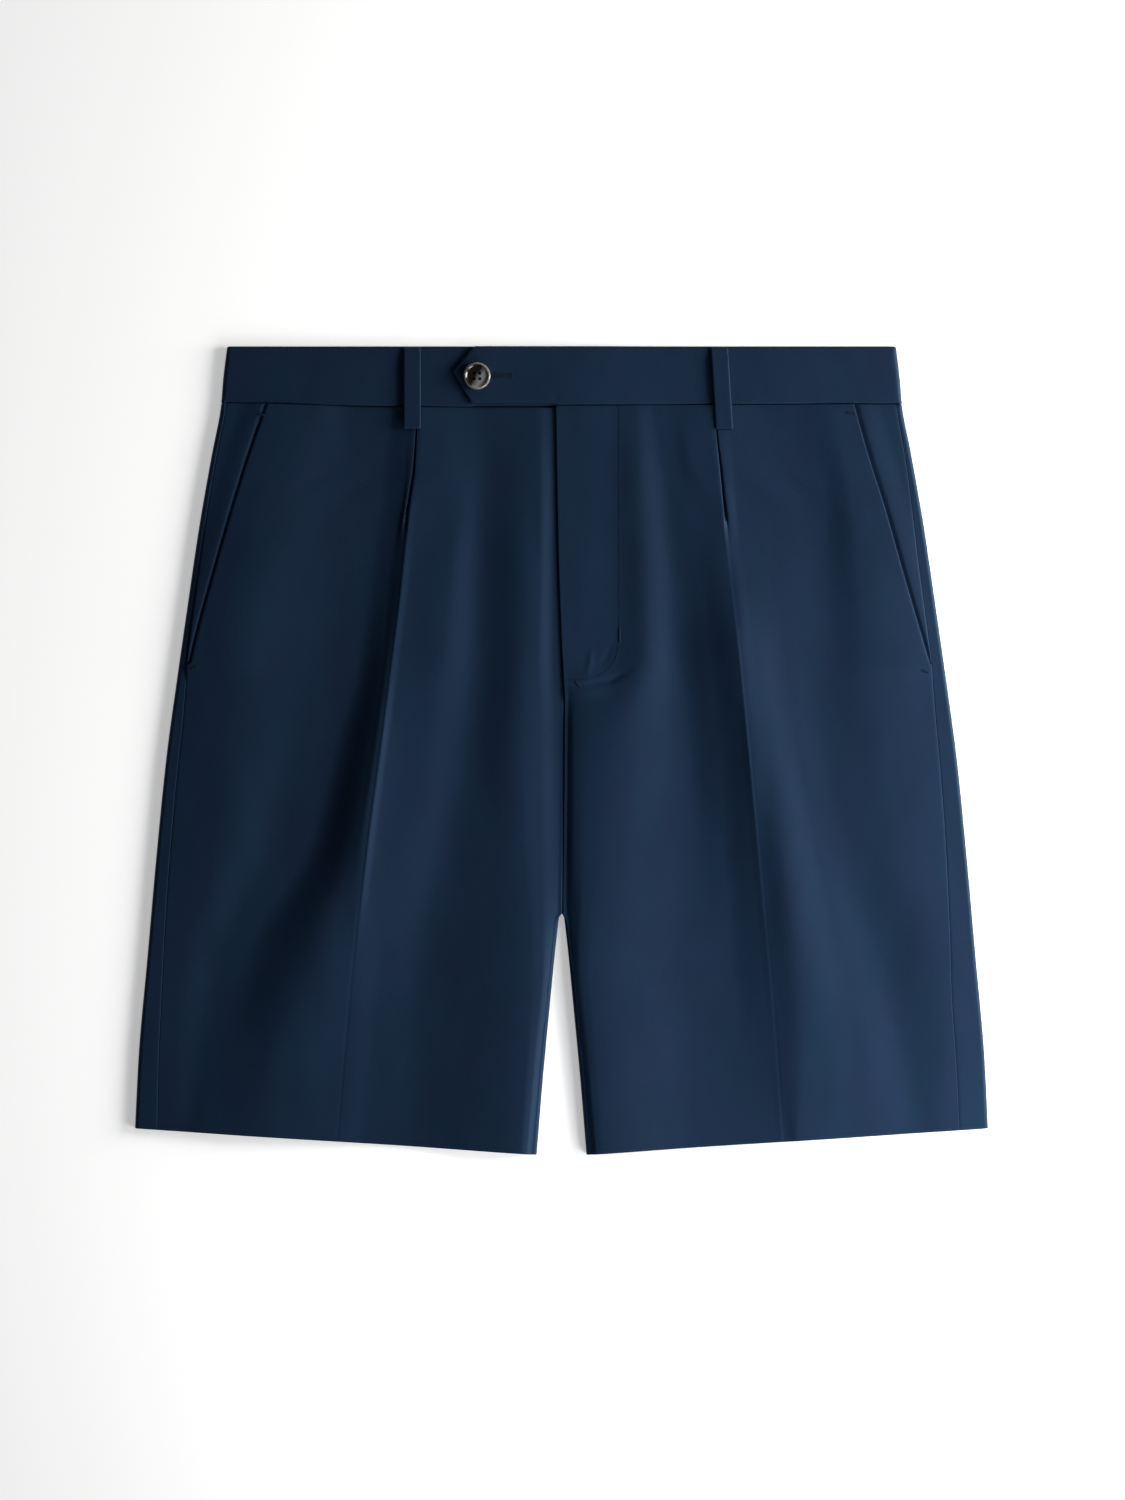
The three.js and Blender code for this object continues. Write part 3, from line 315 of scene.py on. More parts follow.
# Distances from a cut or folded edge, as shares of half the cloth's thickness, that make it round.
EDGE_STEPS = np.array([0.0, 0.05, 0.2, 0.5, 1.0])


def rounded(distance, thickness, least=0.1):
    """Share of a cloth's thickness at a distance from its rounded edge."""
    t = np.clip(distance / (thickness / 2), 0, 1)
    return np.maximum(np.sqrt(1 - (1 - t) ** 2), least)


def nearest(path, x, y):
    """How far places are from a path of points, and what share of the path they are along."""
    path = np.array(path, float)
    near = np.full(x.shape, 1e9)
    along = np.zeros(x.shape)
    start = 0.0
    whole = np.hypot(*np.diff(path, axis=0).T).sum()
    for p, q in zip(path[:-1], path[1:]):
        run = q - p
        size = np.hypot(*run)
        t = np.clip(((x - p[0]) * run[0] + (y - p[1]) * run[1]) / size ** 2, 0, 1)
        away = np.hypot(x - p[0] - t * run[0], y - p[1] - t * run[1])
        along = np.where(away < near, (start + t * size) / whole, along)
        near = np.minimum(near, away)
        start += size
    return near, along


class Garment:
    """The lines and heights of the laid garment, in mm, from the tables and the sizes."""

    def __init__(self, sizes):
        self.cloth = sizes.cloth / MM
        self.band = sizes.band_cloth / MM
        self.gap = sizes.seam_gap / MM
        self.rise = sizes.edge_rise / MM
        self.pitch = sizes.pleat_pitch / MM
        self.step = sizes.grid_step / MM
        self.lap_lift = self.cloth + self.gap
        self.tab_lift = self.band + self.gap

    # lines ---------------------------------------------------------

    def section_y(self, half, a, section):
        """The y of a point on a section. Section 0 is the hem, and 1 the waist seam."""
        hem = read(LONG_EDGES, np.abs(a), "hem", "a")
        seam = read(LONG_EDGES, np.abs(a), "seam_" + half, "a") + WAIST_SEAM_LAP
        return hem + section * (seam - hem)

    def section_through(self, half, a, y):
        hem, seam = self.section_y(half, a, 0.0), self.section_y(half, a, 1.0)
        return float((y - hem) / (seam - hem))

    def meet(self, half, sections, line):
        """Where sections meet a line that is given as a function of y."""
        a = np.full(np.shape(sections), 120.0)
        for _ in range(4):
            a = line(self.section_y(half, a, sections))
        return a

    def side_seam(self, half, y):
        return read(OUTLINE, y, "half") - read(SIDE_SEAM, y, half)

    def inner_end(self, half, y, front=True):
        """Where a front or a back ends next to the middle."""
        side = SIDES[half]
        y = np.asarray(y, float)
        leg = read(INSEAM, y, "edge")
        seam = side * read(CENTRE_FRONT, y, "x")
        if front:
            fly = seam if side > 0 else np.full_like(y, -FLY_UNDERLAP)
            body = np.where(y <= FLY_END_Y - 5, seam + self.gap / 2, fly)
        else:
            body = np.full_like(y, self.gap / 2)
        return np.where(y < CROTCH_Y - 1, leg, body)

    def outer_end(self, half, y):
        seam = self.side_seam(half, y) + SIDE_SEAM_LAP
        mouth = read(POCKET_MOUTH, y, half)
        return np.where(y < POCKET_TIP_Y, seam, np.minimum(seam, mouth))

    # heights -------------------------------------------------------

    def pleat_drop(self, y):
        turn = np.radians(read(PLEAT, y, "turn"))
        return self.pitch * (1 - np.cos(turn)) + read(PLEAT, y, "depth") * np.sin(turn)

    def drape(self, half, a, y):
        """Height of the outer face, before the pleat's own drop is taken off."""
        a, y = np.broadcast_arrays(a, y)
        line = {k: read(FOLD_LINES[half], y, k) for k in FOLD_LINES[half] if k != "y"}
        height = {k: read(FOLD_HEIGHTS[half], y, k) for k in FOLD_HEIGHTS[half] if k != "y"}
        crest = read(PLEAT, y, half)
        lap = crest - read(PLEAT, y, "depth") - PLEAT_LAP
        middle = self.inner_end(half, y) - 1
        inner = smooth_line(
            [middle, *(line[k] for k in INNER_FOLDS), lap, crest],
            [height[k] for k in ("middle", *INNER_FOLDS, "lap", "crest")],
            a,
        )
        drop = self.pleat_drop(y)
        lip = crest + read(PLEAT, y, "lip")
        edge = read(OUTLINE, y, "half") - self.rise / 2
        outer = smooth_line(
            [crest, lip, *(line[k] for k in OUTER_FOLDS), edge],
            [height["crest"], *(height[k] + drop for k in ("lip", *OUTER_FOLDS)), self.rise + drop],
            a,
        )
        return np.where(a <= crest, inner, outer)

    def lap_height(self, half, a, y):
        """How far a front is lifted where it lies on the pocket facing or over the fly."""
        mouth = read(POCKET_MOUTH, y, half)
        over_pocket = smoothstep(-POCKET_RAMP, -1.1 * POCKET_UNDERLAP, a - mouth)
        over_pocket = over_pocket * smoothstep(POCKET_TIP_Y - 12, POCKET_TIP_Y + 1, y)
        over_fly = 1 - smoothstep(FLY_UNDERLAP + 2, FLY_STITCH_A, a)
        over_fly = over_fly * smoothstep(FLY_JOIN_Y, FLY_END_Y - 6, y)
        if half == "right":
            over_fly = 0.0
        return self.lap_lift * np.maximum(over_pocket, over_fly)

    def relief(self, half, a, y):
        """Height of the soft creases that lie over the main folds, and of the waist seam's tuck."""
        x, y = np.broadcast_arrays(SIDES[half] * np.asarray(a, float), y)
        seam = read(LONG_EDGES, np.abs(a), "seam_" + half, "a")
        total = -WAIST_TUCK * smoothstep(seam - TUCK_START, seam - TUCK_END, y)
        for crease in CREASES:
            near, along = nearest(crease["path"], x, y)
            taper = np.sin(np.pi * np.clip(along, 0.04, 0.96)) ** 0.7
            total += crease["height"] * taper * np.exp(-((near / crease["spread"]) ** 2))
        return total

    def facing_height(self, half, a, y):
        """The facing swells next to the pocket mouth, so that only a narrow gap shows."""
        out = a - read(POCKET_MOUTH, y, half)
        swell = smoothstep(*SWELL_PLACES[:2], out) * (1 - smoothstep(*SWELL_PLACES[2:], out))
        return self.laid(half, a, y) + FACING_SWELL * swell

    def laid(self, half, a, y):
        """Height of the shorts' upper side where no piece lies on another."""
        return self.drape(half, a, y) - self.pleat_drop(y) + self.relief(half, a, y)

    # sections ------------------------------------------------------

    def sections(self, half):
        """Sections from hem to waist seam, with more at the edges and at the foot of the fly,
        and how thick the cloth is in each, because its cut edges are rounded."""
        places = [0.0, 1.0]
        marks = ((0, CROTCH_Y), (4, CROTCH_Y - INSEAM_TURN), (0, FLY_JOIN_Y), (0, FLY_END_Y - 5),
                 (0, FLY_END_Y), (POCKET_TIP_A, POCKET_TIP_Y + 1), (0, FLY_TURN_Y))
        places += [self.section_through(half, a, y) for a, y in marks]
        places = sorted(places)
        tall = float(self.section_y(half, 0.0, 1.0) - self.section_y(half, 0.0, 0.0))
        steps = []
        for start, end in zip(places[:-1], places[1:]):
            fine = FLY_JOIN_Y < self.section_y(half, 0.0, (start + end) / 2) < FLY_TURN_Y
            step = self.step / (2.0 if fine else 1.0)
            steps.append(spread(start, end, max(1, round((end - start) * tall / step))))
        inside = np.concatenate(steps)
        edge = self.edge_steps() / tall
        inside = inside[(inside > edge[-1]) & (inside < 1 - edge[-1])]
        sections = np.concatenate([edge, inside, 1 - edge[::-1]])
        return sections, rounded(np.minimum(sections, 1 - sections) * tall, self.cloth)

    def edge_steps(self):
        """Distances from a cut or folded edge that make its cloth round."""
        return self.cloth / 2 * EDGE_STEPS


# ------------------------------------------------------------------ walls of cloth


class Wall:
    """Sections of cloth, a row each: at each point its a, its height, the angle that its face
    looks in, and its share of the full thickness."""

    def __init__(self, half, sections, shares):
        self.half = half
        self.sections = sections[:, None]
        self.shares = shares[:, None]
        self.parts = []

    def add(self, a, z=0.0, angle=0.0, thick=1.0):
        shape = (len(self.sections), np.shape(a)[-1])
        self.parts.append([np.broadcast_to(v, shape) for v in (a, z, angle, thick)])

    def arrays(self):
        return [np.concatenate(columns, axis=1) for columns in zip(*self.parts)]

    def faces(self, garment, thickness, lay):
        """Grids of points on both faces, in mm, and the cloth's own measure across it. lay gives
        the height of the cloth's middle at a and y."""
        a, z, angle, thick = self.arrays()
        y = garment.section_y(self.half, a, self.sections)
        grids = []
        for sign in (1, -1):
            away = sign * thick * self.shares * thickness / 2
            face_a = a + away * np.sin(angle)
            face_z = z + away * np.cos(angle) + lay(face_a, y)
            grids.append(np.stack([SIDES[self.half] * face_a, y, face_z], axis=-1))
        step = np.hypot(np.diff(a, axis=1), np.diff(z, axis=1))
        across = np.concatenate([a[:, :1], a[:, :1] + np.cumsum(step, axis=1)], axis=1)
        return (*grids, across)


def inner_turn(g, end, rise, turned, direction):
    """The inner end of a leg's cloth, which turns down on a front and up on a back. turned is
    nought where it lies flat. Gives where the turn stops, and what a wall adds for the turn."""
    turned = np.maximum(turned, 0.001)
    radius = (rise - g.cloth) / 2
    size = radius * math.pi / 2 - turned * g.gap / 2
    edge = g.edge_steps() + 0 * size
    away = np.concatenate([edge, spread(edge[:, -1:], size, 9)[:, 1:]], axis=1)
    tip = end + turned * g.cloth / 2
    bend = size / (turned * math.pi / 2)
    angle = (size - away) / bend
    stop = tip + bend * np.sin(size / bend)
    fall = -direction * bend * (1 - np.cos(angle))
    return stop, (stop - bend * np.sin(angle), fall, -direction * angle, rounded(away, g.cloth))


def pleat_fold(wall, g, crest, depth, turn):
    """The pleat: a turn under, a stretch back and a turn out again. Gives where it ends."""
    radius = g.pitch / 2
    angle = turn * np.arange(9) / 8
    start = crest - radius
    wall.add(start + radius * np.sin(angle), -radius * (1 - np.cos(angle)), angle)
    under_a = start + radius * np.sin(turn)
    under_z = -radius * (1 - np.cos(turn))
    along = depth * np.arange(1, 6) / 6
    wall.add(under_a + along * np.cos(turn), under_z - along * np.sin(turn), turn)
    out_a = under_a + depth * np.cos(turn) + radius * np.sin(turn)
    out_z = under_z - depth * np.sin(turn) + radius * np.cos(turn)
    angle = angle[:, ::-1]
    wall.add(out_a - radius * np.sin(angle), out_z - radius * np.cos(angle), angle)
    return out_a


def cut_edge(wall, g, start, end, count, z_at):
    """Cloth outwards from start to its cut or folded edge at end."""
    edge = end - g.edge_steps()[::-1]
    inside = spread(start, edge[:, :1], count)
    wall.add(inside, z_at(inside))
    wall.add(edge, z_at(edge), 0.0, rounded(end - edge, g.cloth))


# ------------------------------------------------------------------ meshes


def wall_mesh(name, outer, inner, across):
    """A closed wall between two grids of points, with the weave's own map of the cloth. Its faces
    are turned outwards by the sign of its volume."""
    rows, columns = outer.shape[:2]
    points = np.concatenate([outer.reshape(-1, 3), inner.reshape(-1, 3)]) * MM
    start = rows * columns
    grid = np.arange(start).reshape(rows, columns)
    sheet = np.stack([grid[:-1, :-1], grid[:-1, 1:], grid[1:, 1:], grid[1:, :-1]], -1).reshape(-1, 4)
    rim = np.concatenate([grid[0, :], grid[1:, -1], grid[-1, -2::-1], grid[-2:0:-1, 0]])
    after = np.roll(rim, -1)
    side = np.stack([after, rim, rim + start, after + start], -1)
    faces = np.concatenate([sheet, sheet[:, ::-1] + start, side])
    corner = points[faces]
    normal = np.cross(corner[:, 2] - corner[:, 0], corner[:, 3] - corner[:, 1])
    if (corner.mean(axis=1) * normal).sum() < 0:
        faces = faces[:, ::-1]
    mesh = bpy.data.meshes.new(name)
    mesh.from_pydata(points.tolist(), [], faces.tolist())
    mesh.polygons.foreach_set("use_smooth", np.ones(len(faces), bool))
    layer = mesh.uv_layers.new(name="weave")
    place = np.concatenate([np.stack([across, outer[..., 1]], -1).reshape(-1, 2)] * 2) * MM
    corners = np.empty(len(mesh.loops), np.int32)
    mesh.loops.foreach_get("vertex_index", corners)
    layer.data.foreach_set("uv", place[corners].ravel())
    mesh.materials.append(cloth_material())
    mesh.validate()
    obj = bpy.data.objects.new(name, mesh)
    bpy.context.scene.collection.objects.link(obj)
    return obj


def dress(obj, nodes=()):
    """Hangs a finished piece on the frame, in place of its solids."""
    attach(obj, "root")
    if nodes:
        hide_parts(*nodes)
    return obj


# ------------------------------------------------------------------ materials


def set_inputs(node, values):
    for socket, value in dict(values).items():
        node.inputs[socket].default_value = value


def add_node(tree, kind, settings=(), inputs=(), links=()):
    """Adds a node with its settings and input values, and links from other nodes' outputs."""
    node = tree.nodes.new(kind)
    for name, value in dict(settings).items():
        setattr(node, name, value)
    set_inputs(node, inputs)
    for socket, (source, output) in dict(links).items():
        tree.links.new(source.outputs[output], node.inputs[socket])
    return node


def new_material(name):
    material = bpy.data.materials.new(name)
    material.use_nodes = True
    tree = material.node_tree
    return material, tree, tree.nodes["Principled BSDF"]


def worsted_twill(colours, sizes):
    """Worsted suiting, woven as a fine twill: matt, with a faint sheen where the surface turns
    away, and ribs too fine to tell apart from a few steps away. Its dye varies softly."""
    material, tree, shader = new_material("navy worsted twill")
    place = add_node(tree, "ShaderNodeUVMap", {"uv_map": "weave"})
    turn = add_node(tree, "ShaderNodeMapping", inputs={"Rotation": (0, 0, math.radians(58))},
                    links={"Vector": (place, "UV")})
    # a wave's scale of 1 has 2 pi / 20 waves in a metre, so this gives one rib a pitch
    rib_scale = 2 * math.pi / 20 / sizes.twill_pitch
    ribs = add_node(tree, "ShaderNodeTexWave", {"wave_type": "BANDS", "bands_direction": "X"},
                    {"Scale": rib_scale, "Distortion": 1.2, "Detail": 1.0, "Detail Scale": 2.0},
                    {"Vector": (turn, "Vector")})
    stretch = add_node(tree, "ShaderNodeMapping", inputs={"Scale": (1.0, 0.12, 1.0)},
                       links={"Vector": (place, "UV")})
    slub = add_node(tree, "ShaderNodeTexNoise", inputs={"Scale": 1400.0, "Detail": 2.0},
                    links={"Vector": (stretch, "Vector")})
    threads = add_node(tree, "ShaderNodeMath", {"operation": "MULTIPLY"},
                       links={0: (ribs, "Fac"), 1: (slub, "Fac")})
    tone = add_node(tree, "ShaderNodeMix", {"data_type": "RGBA"},
                    {"A": (*colours.cloth, 1), "B": (*colours.cloth_pale, 1)},
                    {"Factor": (threads, "Value")})
    # clouds about 20 mm across and three times as tall: the first in depth, the second in hue
    tall = add_node(tree, "ShaderNodeMapping", inputs={"Scale": (1.0, 0.35, 1.0)},
                    links={"Vector": (place, "UV")})
    cloudy = add_node(tree, "ShaderNodeTexNoise", inputs={"Scale": 55.0, "Detail": 3.0},
                      links={"Vector": (tall, "Vector")})
    depth = add_node(tree, "ShaderNodeMapRange",
                     inputs={"From Min": 0.3, "From Max": 0.7, "To Min": 0.92, "To Max": 1.08},
                     links={"Value": (cloudy, "Fac")})
    dye = add_node(tree, "ShaderNodeTexNoise", inputs={"Scale": 38.0, "Detail": 2.0},
                   links={"Vector": (tall, "Vector")})
    hue_turn = add_node(tree, "ShaderNodeMapRange", inputs={"From Min": 0.35, "From Max": 0.65},
                        links={"Value": (dye, "Fac")})
    hue = add_node(tree, "ShaderNodeMix", {"data_type": "RGBA"},
                   {"A": (0.89, 1.08, 1.0, 1), "B": (1.09, 0.98, 1.01, 1)},
                   {"Factor": (hue_turn, "Result")})
    shade = add_node(tree, "ShaderNodeVectorMath", {"operation": "SCALE"},
                     links={0: (tone, "Result"), "Scale": (depth, "Result")})
    dyed = add_node(tree, "ShaderNodeVectorMath", {"operation": "MULTIPLY"},
                    links={0: (shade, "Vector"), 1: (hue, "Result")})
    bump = add_node(tree, "ShaderNodeBump", inputs={"Strength": 0.35, "Distance": 0.00012},
                    links={"Height": (threads, "Value")})
    tree.links.new(dyed.outputs["Vector"], shader.inputs["Base Color"])
    tree.links.new(bump.outputs["Normal"], shader.inputs["Normal"])
    set_inputs(shader, {
        "Roughness": 0.56,
        "Specular IOR Level": 0.35,
        "Specular Tint": (*linear("#7fa6d6"), 1),
        "Sheen Weight": 0.03,
        "Sheen Roughness": 0.4,
        "Sheen Tint": (*linear("#8fb2dc"), 1),
    })
    return material


def sewing_thread(colours):
    """Spun polyester thread: soft and a little glossier than the cloth."""
    material, tree, shader = new_material("navy sewing thread")
    place = add_node(tree, "ShaderNodeTexCoord")
    fibres = add_node(tree, "ShaderNodeTexNoise", inputs={"Scale": 3000.0, "Detail": 1.0},
                      links={"Vector": (place, "Object")})
    pale = tuple(1.35 * c for c in colours.thread)
    tone = add_node(tree, "ShaderNodeMix", {"data_type": "RGBA"},
                    {"A": (*colours.thread, 1), "B": (*pale, 1)}, {"Factor": (fibres, "Fac")})
    tree.links.new(tone.outputs["Result"], shader.inputs["Base Color"])
    set_inputs(shader, {
        "Roughness": 0.6,
        "Specular IOR Level": 0.2,
        "Specular Tint": (*linear("#6f95c6"), 1),
    })
    return material


def polished_horn(colours, centre):
    """Horn-like resin, turned and polished: streaked dark on one side and pale on the other,
    with small clear highlights on its rim."""
    material, tree, shader = new_material("dark and pale horn resin")
    coords = add_node(tree, "ShaderNodeTexCoord")
    local = add_node(tree, "ShaderNodeMapping", inputs={"Location": tuple(-c for c in centre)},
                     links={"Vector": (coords, "Object")})
    turned = add_node(tree, "ShaderNodeMapping", inputs={"Rotation": (0, 0, math.radians(28))},
                      links={"Vector": (local, "Vector")})
    streak = add_node(tree, "ShaderNodeMapping", inputs={"Scale": (1.0, 0.25, 1.0)},
                      links={"Vector": (turned, "Vector")})
    grain = add_node(tree, "ShaderNodeTexNoise", inputs={"Scale": 420.0, "Detail": 4.0},
                     links={"Vector": (streak, "Vector")})
    # the grain shifts the border between dark and pale by up to 2 mm each way
    grain_shift = add_node(tree, "ShaderNodeMath", {"operation": "MULTIPLY_ADD"},
                           {1: 0.004, 2: -0.002}, {0: (grain, "Fac")})
    parts = add_node(tree, "ShaderNodeSeparateXYZ", links={"Vector": (turned, "Vector")})
    border = add_node(tree, "ShaderNodeMath", {"operation": "ADD"},
                      links={0: (parts, "X"), 1: (grain_shift, "Value")})
    pale = add_node(tree, "ShaderNodeMapRange", inputs={"From Min": -0.0006, "From Max": 0.0030},
                    links={"Value": (border, "Value")})
    tone = add_node(tree, "ShaderNodeMix", {"data_type": "RGBA"},
                    {"A": (*colours.horn_dark, 1), "B": (*colours.horn_pale, 1)},
                    {"Factor": (pale, "Result")})
    radius = add_node(tree, "ShaderNodeVectorMath", {"operation": "LENGTH"},
                      links={0: (local, "Vector")})
    rim = add_node(tree, "ShaderNodeMapRange", inputs={"From Min": 0.0070, "From Max": 0.0082},
                   links={"Value": (radius, "Value")})
    rimmed = add_node(tree, "ShaderNodeMix", {"data_type": "RGBA"}, {"B": (*colours.horn_rim, 1)},
                      {"Factor": (rim, "Result"), "A": (tone, "Result")})
    tree.links.new(rimmed.outputs["Result"], shader.inputs["Base Color"])
    set_inputs(shader, {"Roughness": 0.22, "Coat Weight": 0.4, "Coat Roughness": 0.12})
    return material


def lit_table(colours):
    """White acrylic that glows by itself, as a table lit from below for product pictures: the glow is
    painted light, which keeps the shadow beside the garment pale."""
    material, tree, shader = new_material("white lit acrylic")
    place = add_node(tree, "ShaderNodeTexCoord")
    cloudy = add_node(tree, "ShaderNodeTexNoise", inputs={"Scale": 2.0},
                      links={"Vector": (place, "Object")})
    dull = tuple(0.98 * c for c in colours.floor)
    tone = add_node(tree, "ShaderNodeMix", {"data_type": "RGBA"},
                    {"A": (*colours.floor, 1), "B": (*dull, 1)}, {"Factor": (cloudy, "Fac")})
    tree.links.new(tone.outputs["Result"], shader.inputs["Base Color"])
    set_inputs(shader, {
        "Roughness": 0.9,
        "Specular IOR Level": 0.1,
        # The floor's own glow: painted light that lifts the shadow the garment casts on it.
        "Emission Color": (1, 1, 1, 1),
        "Emission Strength": 0.42,
    })
    return material


def cloth_material():
    scene = bpy.context.scene
    return bpy.data.materials.get("navy worsted twill") or worsted_twill(
        scene.shorts_colours, scene.shorts_sizes)


def thread_material():
    return bpy.data.materials.get("navy sewing thread") or sewing_thread(
        bpy.context.scene.shorts_colours)


# ------------------------------------------------------------------ stitches by nodes


def stitch_tree():
    """Stitches along a path: short rounded stretches of thread, one at each pitch."""
    name = "stitches along a path"
    if name in bpy.data.node_groups:
        return bpy.data.node_groups[name]
    tree = bpy.data.node_groups.new(name, "GeometryNodeTree")
    face = tree.interface
    face.new_socket("Path", in_out="INPUT", socket_type="NodeSocketGeometry")
    for label in ("Pitch", "Length", "Width", "Lean"):
        face.new_socket(label, in_out="INPUT", socket_type="NodeSocketFloat")
    face.new_socket("Thread", in_out="INPUT", socket_type="NodeSocketMaterial")
    face.new_socket("Stitches", in_out="OUTPUT", socket_type="NodeSocketGeometry")
    source = add_node(tree, "NodeGroupInput")
    curve = add_node(tree, "GeometryNodeMeshToCurve", links={"Mesh": (source, "Path")})
    points = add_node(tree, "GeometryNodeResampleCurve", {"mode": "LENGTH"},
                      links={"Curve": (curve, "Curve"), "Length": (source, "Pitch")})
    bead = add_node(tree, "GeometryNodeMeshUVSphere", inputs={"Segments": 8, "Rings": 6, "Radius": 0.5})
    size = add_node(tree, "ShaderNodeCombineXYZ",
                    links={"X": (source, "Length"), "Y": (source, "Width"), "Z": (source, "Width")})
    shaped = add_node(tree, "GeometryNodeTransform",
                      links={"Geometry": (bead, "Mesh"), "Scale": (size, "Vector")})
    lean = add_node(tree, "ShaderNodeCombineXYZ", links={"Z": (source, "Lean")})
    leaned = add_node(tree, "GeometryNodeTransform",
                      links={"Geometry": (shaped, "Geometry"), "Rotation": (lean, "Vector")})
    tangent = add_node(tree, "GeometryNodeInputTangent")
    aim = add_node(tree, "FunctionNodeAlignRotationToVector", {"axis": "X", "pivot_axis": "AUTO"},
                   links={"Vector": (tangent, "Tangent")})
    sewn = add_node(tree, "GeometryNodeInstanceOnPoints",
                    links={"Points": (points, "Curve"), "Instance": (leaned, "Geometry"),
                           "Rotation": (aim, "Rotation")})
    real = add_node(tree, "GeometryNodeRealizeInstances", links={"Geometry": (sewn, "Instances")})
    smooth = add_node(tree, "GeometryNodeSetShadeSmooth", links={"Geometry": (real, "Geometry")})
    painted = add_node(tree, "GeometryNodeSetMaterial",
                       links={"Geometry": (smooth, "Geometry"), "Material": (source, "Thread")})
    add_node(tree, "NodeGroupOutput", links={"Stitches": (painted, "Geometry")})
    return tree


def sew(name, paths, pitch, size, width, lean=0.0):
    """Sews stitches along paths of points in metres, as one plain mesh."""
    points, edges = [], []
    for path in paths:
        edges += [(len(points) + i, len(points) + i + 1) for i in range(len(path) - 1)]
        points += [tuple(p) for p in path]
    guide = bpy.data.meshes.new(name + " guide")
    guide.from_pydata(points, edges, [])
    obj = bpy.data.objects.new(name + " guide", guide)
    bpy.context.scene.collection.objects.link(obj)
    modifier = obj.modifiers.new("stitches", "NODES")
    modifier.node_group = stitch_tree()
    values = {"Pitch": pitch, "Length": size, "Width": width, "Lean": lean, "Thread": thread_material()}
    for item in modifier.node_group.interface.items_tree:
        if item.in_out == "INPUT" and item.name in values:
            modifier[item.identifier] = values[item.name]
    graph = bpy.context.evaluated_depsgraph_get()
    mesh = bpy.data.meshes.new_from_object(obj.evaluated_get(graph))
    mesh.name = name
    bpy.data.objects.remove(obj)
    sewn = bpy.data.objects.new(name, mesh)
    bpy.context.scene.collection.objects.link(sewn)
    return dress(sewn)


# ------------------------------------------------------------------ operators


class ShortsOperator:
    bl_options = {"REGISTER", "UNDO"}

    def execute(self, context):
        self.make(context.scene, Garment(context.scene.shorts_sizes))
        return {"FINISHED"}


class SHORTS_OT_fronts(ShortsOperator, bpy.types.Operator):
    """Makes the two fronts, with their pleats, creases and soft folds"""
    bl_idname = "shorts.fronts"
    bl_label = "Fronts"

    def make(self, scene, g):
        for half in SIDES:
            wall = Wall(half, *g.sections(half))
            start = self.line_up(g, wall)

            def lay(a, y):
                a = np.maximum(a, start)
                return (g.drape(half, a, y) + g.lap_height(half, a, y) + g.relief(half, a, y)
                        - g.cloth / 2)

            obj = wall_mesh(f"front_{half}_cloth", *wall.faces(g, g.cloth, lay))
            dress(obj, [f"front_{half}"])

    def line_up(self, g, wall):
        """Sections from the fly or the inseam out to the pocket or the side seam."""
        half, sections = wall.half, wall.sections

        def y_at(a):
            return g.section_y(half, a, sections)

        def drop_at(a):
            return -g.pleat_drop(y_at(a))

        def stops_at(*names):
            return [g.meet(half, sections, lambda y: read(FOLD_LINES[half], y, k)) for k in names]

        def run(stops, counts, height):
            for start, end, count in zip(stops[:-1], stops[1:], counts):
                places = spread(start, end, count)
                wall.add(places, height(places))

        crest = g.meet(half, sections, lambda y: read(PLEAT, y, half))
        depth, turn = read(PLEAT, y_at(crest), "depth"), np.radians(read(PLEAT, y_at(crest), "turn"))
        inner_y = y_at(0.0)
        end = g.inner_end(half, inner_y)
        turned = smoothstep(CROTCH_Y, CROTCH_Y - INSEAM_TURN, inner_y)
        start, turn_down = inner_turn(g, end, g.drape(half, end, inner_y), turned, 1)
        wall.add(*turn_down)
        stops = [start, *stops_at(*INNER_FOLDS), crest - depth - PLEAT_LAP, crest - g.pitch / 2]
        run(stops, INNER_STEPS, np.zeros_like)
        fold_end = pleat_fold(wall, g, crest, depth, turn)
        near = np.maximum(fold_end + PLEAT_CLEAR, crest - PLEAT_CLEAR)
        lip = crest + read(PLEAT, y_at(crest), "lip")
        stops = [fold_end + (near - fold_end) / 5, near, lip + 1, *stops_at(*OUTER_FOLDS)]
        run(stops, OUTER_STEPS, drop_at)
        outer = g.meet(half, sections, lambda y: g.outer_end(half, y))
        cut_edge(wall, g, stops[-1], outer, 20, drop_at)
        return start


